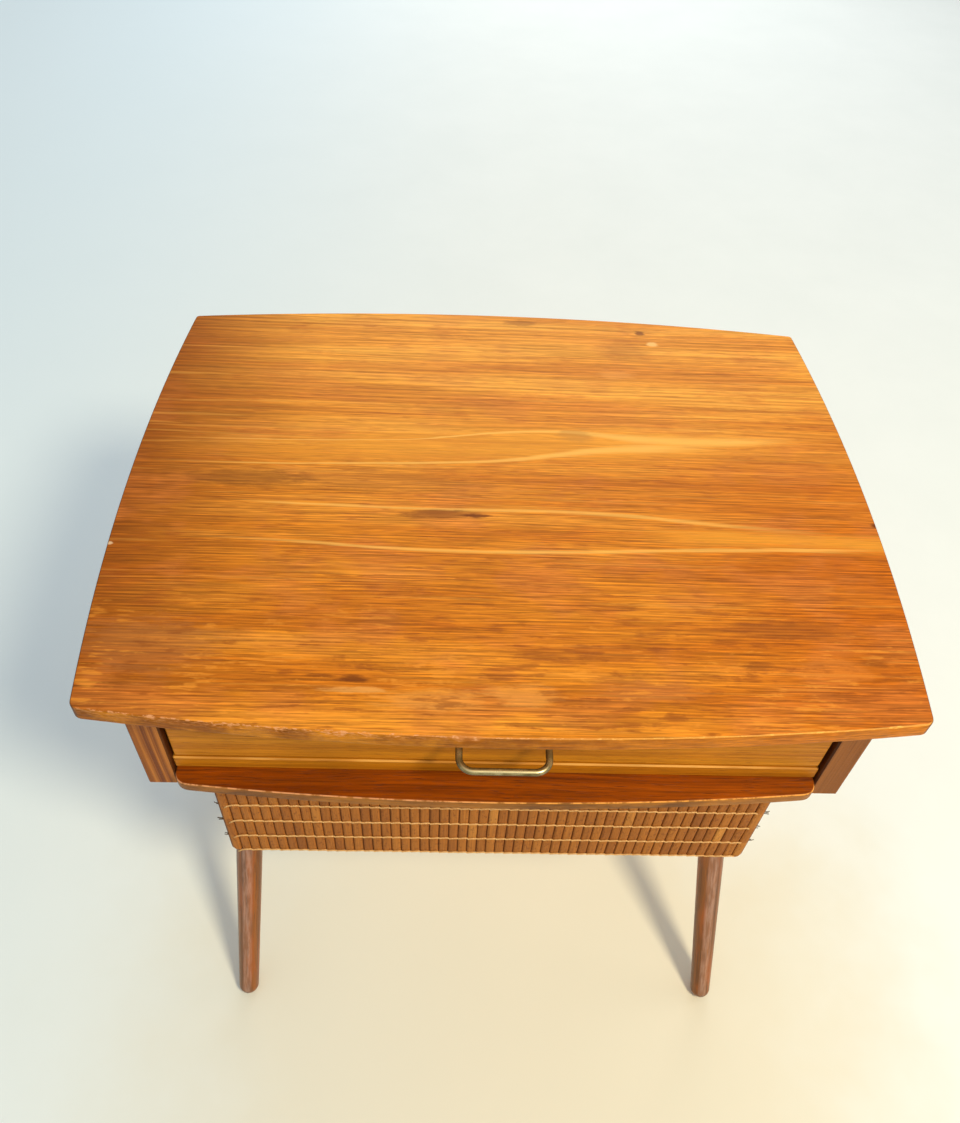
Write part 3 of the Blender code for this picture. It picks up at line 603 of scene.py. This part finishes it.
def splint_skin():
    """Split palm strips: each piece between two threads has its own tone, from the mesh."""
    graph = Graph("splint", 0.62, 0.15)
    own = graph.add("ShaderNodeAttribute", attribute_name="tone").outputs["Fac"]
    colour = graph.ramp(own, ((0.0, tone(135, 76, 27)), (0.35, tone(162, 95, 34)),
                              (0.7, tone(180, 110, 41)), (1.0, tone(203, 135, 59))))
    lines = graph.noise(graph.scaled(graph.place, (900.0, 900.0, 24.0)), 3.0, 0.6)
    colour = graph.shade(colour, graph.swing(lines, 0.80, 1.16))
    speck = graph.noise(graph.scaled(graph.place, (560.0, 560.0, 260.0)), 3.0, 0.65)
    colour = graph.mix(graph.spread(speck, 0.54, 0.68, 0.0, 0.7), colour, tone(116, 58, 22))
    return graph.finish(colour, lines, 0.0002)


def thread_skin():
    """Pale twisted binding thread."""
    graph = Graph("thread", 0.7, 0.2)
    twist = graph.noise(graph.scaled(graph.place, (1500.0, 1500.0, 2600.0)), 2.0, 0.6)
    colour = graph.mix(graph.spread(twist, 0.35, 0.65), tone(201, 139, 75), tone(240, 201, 139))
    return graph.finish(colour, twist, 0.0002)


def backing_skin(name, out):
    """The thin board behind the splints: dark brown between them, olive at its edges."""
    graph = Graph(name, 0.7, 0.15)
    lines = graph.noise(graph.scaled(graph.place, (60.0, 60.0, 900.0)), 3.0, 0.6)
    face = graph.mix(lines, tone(96, 48, 16), tone(124, 68, 28))
    edge = graph.mix(lines, tone(88, 76, 40), tone(132, 114, 66))
    axis = X if out[X] else Y
    level = graph.maths("ABSOLUTE", graph.parts(graph.normal)[axis])
    return graph.finish(graph.mix(graph.spread(level, 0.95, 0.75), face, edge), lines, 0.00015)


def fray_skin():
    """Dark frayed ends of the binding."""
    graph = Graph("fray", 0.8, 0.2)
    lines = graph.noise(graph.scaled(graph.place, (800.0, 800.0, 800.0)), 2.0, 0.6)
    colour = graph.mix(lines, tone(59, 42, 21), tone(102, 76, 43))
    return graph.finish(colour, lines, 0.0002)


def aged_brass():
    """Brass: painted shade makes it dark and olive below and behind, and a painted highlight makes it
    bright on the upper front.
    """
    graph = Graph("aged_brass", 0.3, 0.5, 0.58)
    cloud = graph.noise(graph.scaled(graph.place, (140.0, 140.0, 140.0)), 4.0, 0.6)
    pits = graph.noise(graph.scaled(graph.place, (900.0, 900.0, 900.0)), 2.0, 0.5)
    colour = graph.ramp(cloud, ((0.30, tone(112, 98, 60)), (0.52, tone(156, 140, 96)),
                                (0.72, tone(204, 188, 142))))
    facing = graph.parts(graph.normal)
    lit = graph.maths("MULTIPLY_ADD", facing[Y], -0.45, graph.times(facing[Z], 0.89))
    # painted shade: the sides of the wire below and behind darkened
    colour = graph.mix(graph.spread(lit, 0.86, 0.40, 0.0, 0.85), colour, tone(74, 58, 26))
    # painted highlight: the upper front of the wire
    colour = graph.mix(graph.spread(lit, 0.88, 0.99, 0.0, 0.60), colour, tone(246, 228, 178))
    return graph.finish(colour, pits, 0.00004, graph.swing(cloud, 0.42, 0.22))


def steel():
    """Plain screws, a little matt."""
    graph = Graph("steel", 0.38, 0.5, 1.0)
    lines = graph.noise(graph.scaled(graph.place, (700.0, 700.0, 700.0)), 3.0, 0.6)
    colour = graph.mix(lines, tone(132, 128, 118), tone(196, 192, 182))
    return graph.finish(colour, lines, 0.00003, graph.swing(lines, 0.5, 0.3))


def floor_skin():
    """A plain pale floor, with painted warm light under and before the table and painted cool shade to its
    left.
    """
    graph = Graph("floor", 0.75, 0.2)
    cloud = graph.noise(graph.scaled(graph.place, (5.0, 5.0, 5.0)), 4.0, 0.6)
    colour = graph.mix(cloud, tone(234, 236, 233), tone(243, 244, 241))
    # painted warm light before and under the table
    painted_warm_light = spot(graph, (0.05, -0.25), (0.50, 0.42), cloud, 0.6)
    colour = graph.mix(graph.times(painted_warm_light, 0.75), colour, tone(232, 220, 194))
    # painted cool shade towards the left
    painted_cool_shade = graph.spread(graph.parts(graph.place)[X], 0.2, -1.0, 0.0, 0.8)
    colour = graph.mix(painted_cool_shade, colour, tone(226, 240, 248))
    return graph.finish(colour, cloud, 0.0004)


# each wood's dark, light and pore colours, roughness, specular, bands, depth of fibres and of pores,
# seed, patches and the colour of the painted highlight along its arrises
PLAIN_WOODS = {
    "front_teak": (tone(175, 100, 7), tone(206, 130, 23), tone(116, 58, 5),
                   0.5, 0.18, 110.0, 0.24, 0.55, 5.7, 0.12, tone(246, 186, 96)),
    "beech": (tone(186, 146, 100), tone(214, 178, 130), tone(150, 106, 66),
              0.6, 0.25, 50.0, 0.07, 0.35, 9.1, 0.06, None),
    "plywood": (tone(176, 132, 84), tone(206, 164, 112), tone(138, 92, 52),
                0.65, 0.22, 30.0, 0.09, 0.30, 4.4, 0.08, None)}


def make_finishes():
    """Every material slot, once for each grain direction that a board of it needs."""
    made = {"top_teak": top_teak(), "panel_teak": panel_teak(), "leg_teak": leg_teak(),
            "splint": splint_skin(), "aged_brass": aged_brass(), "steel": steel(),
            "lip_pull": lip_teak("lip_pull", X, True)}
    for axis, letter in enumerate("xyz"):
        for wood, look in PLAIN_WOODS.items():
            made[f"{wood}_{letter}"] = plain_wood(f"{wood}_{letter}", axis, *look)
        made["lip_teak_" + letter] = lip_teak("lip_teak_" + letter, axis, False)
    return made


# ---- mesh tools ----
def add_piece(name, mesh, material, body, slot_name, *nodes):
    """Show a mesh as a piece of the table, in place of CAD nodes where it stands for some."""
    piece = bpy.data.objects.new(name, mesh)
    bpy.context.scene.collection.objects.link(piece)
    mesh.materials.clear()
    mesh.materials.append(material)
    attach(piece, body)
    if nodes:
        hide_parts(*nodes)
    return piece


def new_mesh(name, points, faces):
    mesh = bpy.data.meshes.new(name)
    mesh.from_pydata(points, [], faces)
    mesh.update()
    return mesh


def smooth_quads(mesh):
    """Shade the four-sided faces smooth and leave the ends flat."""
    for polygon in mesh.polygons:
        polygon.use_smooth = len(polygon.vertices) == 4
    return mesh


def tube_faces(start, rings, count):
    """The faces of a tube of rings of count points each, closed at both ends."""
    faces = []
    for ring in range(rings - 1):
        base = start + ring * count
        for step in range(count):
            after = (step + 1) % count
            faces.append((base + step, base + after, base + count + after, base + count + step))
    last = start + (rings - 1) * count
    return faces + [tuple(range(start + count - 1, start - 1, -1)), tuple(range(last, last + count))]


def smooth_ends_flat(mesh, flat):
    """Shade every face smooth but the ones flat() picks, with a crisp edge between the two."""
    work = bmesh.new()
    work.from_mesh(mesh)
    for face in work.faces:
        face.smooth = not flat(face)
    for edge in work.edges:
        edge.smooth = len({face.smooth for face in edge.link_faces}) == 1
    work.to_mesh(mesh)
    work.free()


def outline(corners, bows, radii, steps, corner_steps=8):
    """Points round a flat shape: each side bows out past its corners, which are rounded."""
    sides = []
    for index, corner in enumerate(corners):
        start = Vector(corner)
        along = Vector(corners[(index + 1) % len(corners)]) - start
        out = Vector((along.y, -along.x)).normalized()
        shares = [step / steps for step in range(steps + 1)]
        bow = out * bows[index]
        sides.append([start + along * part + bow * (1 - (2 * part - 1) ** 2) for part in shares])
    points = []
    for index, side in enumerate(sides):
        corner = side[0]
        radius = radii[index]
        before = (sides[index - 1][-2] - corner).normalized() * radius
        after = (side[1] - corner).normalized() * radius
        for step in range(corner_steps + 1) if radius else ():
            part = step / corner_steps
            points.append((corner + before * (1 - part)).lerp(corner + after * part, part))
        if not radius:
            points.append(corner.copy())
        clear = radius * 1.02
        end = sides[(index + 1) % len(sides)][0]
        end_clear = radii[(index + 1) % len(radii)] * 1.02
        for point in side[1:-1]:
            if (point - corner).length > clear and (point - end).length > end_clear:
                points.append(point)
    return points


def arris_profile(low, high, radius, steps):
    """(inset, height) round a board's edge, from the rim of its top face to the rim of its lower one."""
    upper = []
    for step in range(steps + 1):
        angle = math.pi / 2 * step / steps
        upper.append((radius * (1 - math.sin(angle)), high - radius * (1 - math.cos(angle))))
    return upper + [(inset, low + high - height) for inset, height in reversed(upper)]


def slab_mesh(name, points, profile, wear=None):
    """A closed flat board from its outline and its edge's profile. wear() may move a point."""
    count = len(points)
    inward = []
    for index, point in enumerate(points):
        along = (points[(index + 1) % count] - points[index - 1]).normalized()
        inward.append(Vector((-along.y, along.x)))
    verts = []
    for inset, height in profile:
        for point, direction in zip(points, inward):
            moved = point + direction * inset
            place = Vector((moved.x, moved.y, height))
            if wear is not None:
                place = wear(place, direction, inset)
            verts.append(place)
    faces = [tuple(range(count))]
    for ring in range(len(profile) - 1):
        upper = ring * count
        lower = upper + count
        for index in range(count):
            after = (index + 1) % count
            faces.append((upper + index, lower + index, lower + after, upper + after))
    last = (len(profile) - 1) * count
    faces.append(tuple(range(last + count - 1, last - 1, -1)))
    mesh = new_mesh(name, verts, faces)
    return smooth_quads(mesh)


def tube_mesh(name, runs, radius, sides):
    """Round wires along runs of points, closed at both ends."""
    verts = []
    faces = []
    for run in runs:
        start = len(verts)
        across = None
        for index, point in enumerate(run):
            ahead = (run[min(index + 1, len(run) - 1)] - run[max(index - 1, 0)]).normalized()
            if across is None:
                across = ahead.orthogonal().normalized()
            across = (across - ahead * across.dot(ahead)).normalized()
            up = ahead.cross(across)
            for side in range(sides):
                angle = math.tau * side / sides
                verts.append(point + (across * math.cos(angle) + up * math.sin(angle)) * radius)
        faces += tube_faces(start, len(run), sides)
    mesh = new_mesh(name, verts, faces)
    return smooth_quads(mesh)


# ---- pieces ----
def chipped(place, inward, inset):
    """The front arris of the top, knocked in here and there."""
    if inward.y < 0.5 or inset <= 0.0 or inset >= TOP_ARRIS:
        return place
    spot_here = noise.fractal(Vector((place.x * TOP_CHIP_PACE, 0.3, 0.7)), 1.0, 2.0, 3)
    left_side = 1.0 if place.x < -0.02 else 0.45
    depth = max(0.0, spot_here - 0.05) * TOP_CHIP_DEPTH * left_side
    return place + Vector((inward.x, inward.y, -1.0)).normalized() * depth


def make_top():
    low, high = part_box("tabletop")
    half_width = high.x - TOP_BOW_SIDE
    half_depth = high.y - TOP_BOW_FRONT
    corners = [(-half_width, -half_depth), (half_width, -half_depth), (half_width, half_depth),
               (-half_width, half_depth)]
    bows = (TOP_BOW_FRONT, TOP_BOW_SIDE, TOP_BOW_FRONT, TOP_BOW_SIDE)
    points = outline(corners, bows, (TOP_FRONT_CORNER, TOP_FRONT_CORNER, TOP_CORNER, TOP_CORNER), TOP_STEPS)
    mesh = slab_mesh("top_fine", points, arris_profile(low.z, high.z, TOP_ARRIS, 6), chipped)
    add_piece("top_board", mesh, FINISHES["top_teak"], "case", "top_teak", "tabletop")


def make_lip():
    low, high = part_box("basket_rim_front")
    corners = [(low.x, LIP_CORNER_Y), (high.x, LIP_CORNER_Y), (high.x, high.y), (low.x, high.y)]
    points = outline(corners, (LIP_BOW, 0.0, 0.0, 0.0), (LIP_CORNER, LIP_CORNER, 0.0, 0.0), LIP_STEPS, 10)
    mesh = slab_mesh("lip_fine", points, arris_profile(low.z, high.z, LIP_ARRIS, 5))
    add_piece("basket_pull_lip", mesh, FINISHES["lip_pull"], "basket", "lip_teak", "basket_rim_front")


def make_leg(side, sign, end, y_sign):
    """One leg turned with a round foot, cut level at the floor and the rail and upright at its pair."""
    node = f"leg_{end}_{side}"
    low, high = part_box(node)
    start = Vector((sign * LEG_FOOT[0], y_sign * LEG_FOOT[1], LEG_TIP_HEIGHT))
    direction = Vector((-sign * LEG_LEAN_IN, -y_sign * LEG_LEAN_BACK, 1.0)).normalized()
    length = (high.z - start.z) / direction.z + LEG_SPARE
    profile = []
    for step in range(1, LEG_TIP_RINGS + 1):
        angle = math.pi / 2 * (1 - step / LEG_TIP_RINGS)
        profile.append((LEG_FOOT_RADIUS * math.cos(angle), -LEG_FOOT_RADIUS * math.sin(angle)))
    profile.append((LEG_SWELL_RADIUS, LEG_SWELL_LENGTH))
    profile.append((LEG_TOP_RADIUS, length))
    turned = direction.to_track_quat("Z", "X").to_matrix().to_4x4()
    turned.translation = start
    verts = [turned @ Vector((0.0, 0.0, -LEG_FOOT_RADIUS))]
    for radius, height in profile:
        for segment in range(LEG_SEGMENTS):
            angle = math.tau * segment / LEG_SEGMENTS
            verts.append(turned @ Vector((radius * math.cos(angle), radius * math.sin(angle), height)))
    faces = [(0, 1 + (segment + 1) % LEG_SEGMENTS, 1 + segment) for segment in range(LEG_SEGMENTS)]
    for ring in range(len(profile) - 1):
        base = 1 + ring * LEG_SEGMENTS
        for segment in range(LEG_SEGMENTS):
            after = (segment + 1) % LEG_SEGMENTS
            faces.append((base + segment, base + after, base + LEG_SEGMENTS + after,
                          base + LEG_SEGMENTS + segment))
    last = 1 + (len(profile) - 1) * LEG_SEGMENTS
    faces.append(tuple(range(last, last + LEG_SEGMENTS)))
    mesh = new_mesh(node + "_fine", verts, faces)
    pair_y = high.y if y_sign < 0 else low.y
    work = bmesh.new()
    work.from_mesh(mesh)
    for at, facing in (((0, 0, low.z), (0, 0, -1)), ((0, 0, high.z), (0, 0, 1)),
                       ((0, pair_y, 0), (0, -y_sign, 0))):
        parts = work.verts[:] + work.edges[:] + work.faces[:]
        sliced = bmesh.ops.bisect_plane(work, geom=parts, plane_co=at, plane_no=facing, clear_outer=True)
        rim = [item for item in sliced["geom_cut"] if isinstance(item, bmesh.types.BMEdge)]
        if rim:
            bmesh.ops.holes_fill(work, edges=rim)
    bmesh.ops.recalc_face_normals(work, faces=work.faces)
    work.to_mesh(mesh)
    work.free()
    smooth_ends_flat(mesh, lambda face: len(face.verts) > 5)
    add_piece("turned_" + node, mesh, FINISHES["leg_teak"], "case", "leg_teak", node)


def make_handle():
    low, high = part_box("handle")
    front = low.y + HANDLE_RADIUS
    level = (low.z + high.z) / 2
    inner = HANDLE_HALF_SPAN - HANDLE_BEND
    reach = front + HANDLE_BEND - high.y
    run = []
    for step in range(HANDLE_ARM_STEPS):
        run.append(Vector((-HANDLE_HALF_SPAN, high.y + reach * step / HANDLE_ARM_STEPS, level)))
    for step in range(HANDLE_BEND_STEPS + 1):
        angle = math.pi / 2 * step / HANDLE_BEND_STEPS
        run.append(Vector((-inner - HANDLE_BEND * math.cos(angle),
                           front + HANDLE_BEND * (1 - math.sin(angle)), level)))
    for step in range(1, HANDLE_BAR_STEPS):
        run.append(Vector((-inner * (1 - step / HANDLE_BAR_STEPS), front, level)))
    mirrored = [Vector((-point.x, point.y, point.z)) for point in reversed(run)]
    run = run + [Vector((0.0, front, level))] + mirrored
    mesh = tube_mesh("handle_fine", [run], HANDLE_RADIUS, HANDLE_SIDES)
    add_piece("wire_pull", mesh, FINISHES["aged_brass"], "drawer", "aged_brass", "handle")


class Mat:
    """One side of the basket from outside: s runs from its left edge, d out from its inner face."""

    def __init__(self, node, out):
        low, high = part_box(node)
        self.out = Vector(out)
        self.along = Vector((-self.out.y, self.out.x, 0.0))
        size = high - low
        self.width = abs(size.dot(self.along))
        self.tall = size.z
        self.thick = abs(size.dot(self.out))
        self.corner = (low + high) / 2 - self.out * self.thick / 2 - self.along * self.width / 2
        self.corner.z = low.z

    def point(self, s, d, height):
        return self.corner + self.along * s + self.out * d + Vector((0.0, 0.0, height))


def backing_mesh(mat, name):
    """The thin board behind the splints, with its lower corners rounded."""
    corners = [(0.0, 0.0), (mat.width, 0.0), (mat.width, mat.tall), (0.0, mat.tall)]
    points = outline(corners, (0.0,) * 4, (MAT_CORNER, MAT_CORNER, 0.0, 0.0), 24, 6)
    flat = slab_mesh(name, points, arris_profile(0.0, BACKING_THICK, 0.0003, 2))
    for vert in flat.vertices:
        vert.co = mat.point(vert.co.x, vert.co.z, vert.co.y)
    work = bmesh.new()
    work.from_mesh(flat)
    bmesh.ops.recalc_face_normals(work, faces=work.faces)
    work.to_mesh(flat)
    work.free()
    return flat


def thread_rows(mat):
    """Heights of the binding threads above the mat's lower edge."""
    heights = []
    height = LOWEST_THREAD
    while height < mat.tall - 0.004:
        heights.append(height)
        height += THREAD_PITCH
    return heights


def splint_edges(mat):
    """Where each splint starts and ends: a wide strip at each end and even ones between."""
    inner = mat.width - 2 * OUTER_STRIP
    count = round(inner / SPLINT_PITCH)
    pitch = inner / count
    edges = [(MAT_MARGIN, OUTER_STRIP - SPLINT_GAP / 2)]
    for index in range(count):
        start = OUTER_STRIP + index * pitch
        edges.append((start + SPLINT_GAP / 2, start + pitch - SPLINT_GAP / 2))
    edges.append((mat.width - OUTER_STRIP + SPLINT_GAP / 2, mat.width - MAT_MARGIN))
    return edges


def splint_mesh(mat, name, luck):
    """Crowned upright strips, drawn in where the threads cross them. Each stretch keeps its own tone."""
    rows = thread_rows(mat)
    levels = [SPLINT_SHORT] + rows[1:] + [mat.tall - SPLINT_SHORT]
    verts = []
    faces = []
    tones = []
    edges = splint_edges(mat)
    across = 6
    for number, (start, end) in enumerate(edges):
        outermost = number in (0, len(edges) - 1)
        own = luck.gauss(0.5, SPLINT_TONES)
        lift = luck.uniform(-SPLINT_LIFT, SPLINT_LIFT)
        lean = luck.uniform(-SPLINT_LEAN, SPLINT_LEAN)
        lines = []
        for below, above in zip(levels, levels[1:]):
            shade = min(1.0, max(0.0, own + luck.gauss(0.0, STRETCH_TONES)))
            for part in STRETCH_PARTS:
                height = below + (above - below) * part
                swell = 1.0 if outermost else 1.0 - SPLINT_DRAWN_IN * abs(2 * part - 1) ** 4
                lines.append((height, swell, shade))
        base = len(verts)
        for height, swell, shade in lines:
            thick = (SPLINT_THICK + lift) * swell
            sway = lean * math.sin(height * 90 + number)
            rounding = 0.0
            if height < MAT_CORNER:
                rounding = MAT_CORNER - math.sqrt(max(0.0, MAT_CORNER ** 2 - (MAT_CORNER - height) ** 2))
            left = start + (rounding if number == 0 else 0.0)
            right = end - (rounding if number == len(edges) - 1 else 0.0)
            verts.append(mat.point(left + sway, SPLINT_ROOT, height))
            for step in range(across + 1):
                part = step / across
                crown = 1.0 - SPLINT_CROWN * abs(2 * part - 1) ** 5
                out = BACKING_THICK + thick * crown
                verts.append(mat.point(left + (right - left) * part + sway, out, height))
            verts.append(mat.point(right + sway, SPLINT_ROOT, height))
            tones += [shade] * (across + 3)
        faces += tube_faces(base, len(lines), across + 3)
    mesh = new_mesh(name, verts, faces)
    mesh.attributes.new("tone", "FLOAT", "POINT").data.foreach_set("value", tones)
    return smooth_quads(mesh)


def thread_runs(mat, luck):
    """The middle lines of the binding threads, dipping between the splints."""
    edges = splint_edges(mat)
    runs = []
    for height in thread_rows(mat):
        run = []
        first_start = edges[1][0]
        face = BACKING_THICK + SPLINT_THICK * 0.70 + THREAD_RADIUS * 0.7
        run.append(mat.point(first_start - 0.0040, face, height - 0.0040))
        run.append(mat.point(first_start - 0.0016, face + 0.0002, height - 0.0016))
        for start, end in edges[1:-1]:
            wide = end - start
            step_up = luck.uniform(-0.00035, 0.00035)
            run.append(mat.point(start + wide * 0.08, face - 0.0002, height - 0.0010 + step_up))
            run.append(mat.point(start + wide * 0.35, face + 0.0002, height + 0.0004 + step_up))
            run.append(mat.point(start + wide * 0.75, face + 0.0002, height + 0.0008 + step_up))
            run.append(mat.point(end, face - 0.0003, height - 0.0001 + step_up))
        last = edges[-1][0]
        run.append(mat.point(last + 0.0016, face + 0.0001, height - 0.0002))
        runs.append(run)
    return runs


def fray_runs(mat, luck):
    """Short ends of the binding that stand out of the mat's side edges."""
    runs = []
    for height in thread_rows(mat)[1:]:
        for edge, out in ((0.0, -1), (mat.width, 1)):
            for _ in range(3):
                long = luck.uniform(0.0015, 0.0045)
                rise = luck.uniform(-0.0025, 0.0015)
                start = height + luck.uniform(-0.003, 0.002)
                depth = BACKING_THICK * luck.uniform(0.3, 0.9)
                runs.append([mat.point(edge - out * 0.001, depth, start),
                             mat.point(edge + out * long * 0.5, depth, start + rise * 0.3),
                             mat.point(edge + out * long, depth - 0.0004, start + rise)])
    return runs


def make_mats():
    thread = thread_skin()
    fray = fray_skin()
    for side, out in MAT_SIDES:
        node = "basket_mat_" + side
        mat = Mat(node, out)
        luck = random.Random("mat " + side)
        splints = splint_mesh(mat, "splints_" + side, luck)
        add_piece("splints_" + side, splints, FINISHES["splint"], "basket", "splint", node)
        board = backing_mesh(mat, "mat_board_" + side)
        add_piece("mat_board_" + side, board, backing_skin("backing_" + side, out), "basket", "splint")
        threads = tube_mesh("threads_" + side, thread_runs(mat, luck), THREAD_RADIUS, THREAD_SIDES)
        add_piece("threads_" + side, threads, thread, "basket", "splint")
        if side == "front":
            frays = tube_mesh("frays_" + side, fray_runs(mat, luck), FRAY_RADIUS, FRAY_SIDES)
            add_piece("frays_" + side, frays, fray, "basket", "splint")


def finish_cad_nodes():
    """Give each CAD node that stays its finish, with the grain along its longest side."""
    for name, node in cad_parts.items():
        low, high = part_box(name)
        size = high - low
        letter = "xyz"[max(range(3), key=lambda axis: size[axis])]
        for place in node.material_slots:
            slot_name = place.material.name.split(".")[0]
            place.material = FINISHES.get(slot_name) or FINISHES[f"{slot_name}_{letter}"]


# ---- stage ----
def make_floor():
    corners = [(x * FLOOR_HALF, y * FLOOR_HALF, 0) for x, y in ((-1, -1), (1, -1), (1, 1), (-1, 1))]
    mesh = new_mesh("floor", corners, [(0, 1, 2, 3)])
    mesh.materials.append(floor_skin())
    floor = bpy.data.objects.new("floor", mesh)
    bpy.context.scene.collection.objects.link(floor)


def make_light(name, place, size, power, colour):
    data = bpy.data.lights.new(name, "AREA")
    data.shape = "DISK"
    data.size = size
    data.energy = power
    data.color = colour
    light = bpy.data.objects.new(name, data)
    light.location = place
    light.rotation_euler = (Vector(AIM) - Vector(place)).to_track_quat("-Z", "Y").to_euler()
    bpy.context.scene.collection.objects.link(light)


def make_lights():
    make_light("key", KEY_PLACE, KEY_SIZE, KEY_POWER, KEY_COLOUR)
    make_light("window", WINDOW_PLACE, WINDOW_SIZE, WINDOW_POWER, WINDOW_COLOUR)
    make_light("wall", WALL_PLACE, WALL_SIZE, WALL_POWER, WALL_COLOUR)
    world = bpy.data.worlds.new("room")
    world.use_nodes = True
    background = world.node_tree.nodes["Background"]
    background.inputs["Color"].default_value = ROOM_COLOUR
    background.inputs["Strength"].default_value = ROOM_STRENGTH
    bpy.context.scene.world = world
    bpy.context.scene.view_settings.view_transform = "Standard"


def make_camera():
    forward = Vector((math.sin(CAMERA_YAW) * math.cos(CAMERA_PITCH),
                      math.cos(CAMERA_YAW) * math.cos(CAMERA_PITCH),
                      -math.sin(CAMERA_PITCH)))
    level_right = Vector((math.cos(CAMERA_YAW), -math.sin(CAMERA_YAW), 0.0))
    level_up = level_right.cross(forward)
    right = level_right * math.cos(CAMERA_ROLL) + level_up * math.sin(CAMERA_ROLL)
    up = level_up * math.cos(CAMERA_ROLL) - level_right * math.sin(CAMERA_ROLL)
    data = bpy.data.cameras.new("camera")
    data.lens = CAMERA_LENS
    data.sensor_width = CAMERA_SENSOR
    camera = bpy.data.objects.new("camera", data)
    turned = Matrix((right, up, -forward)).transposed().to_4x4()
    camera.matrix_world = Matrix.Translation(CAMERA_PLACE) @ turned
    bpy.context.scene.collection.objects.link(camera)
    bpy.context.scene.camera = camera


FINISHES = make_finishes()
make_camera()
make_lights()
make_floor()
make_top()
make_lip()
for side, sign in SIDES:
    for end, y_sign in ENDS:
        make_leg(side, sign, end, y_sign)
make_handle()
make_mats()
finish_cad_nodes()
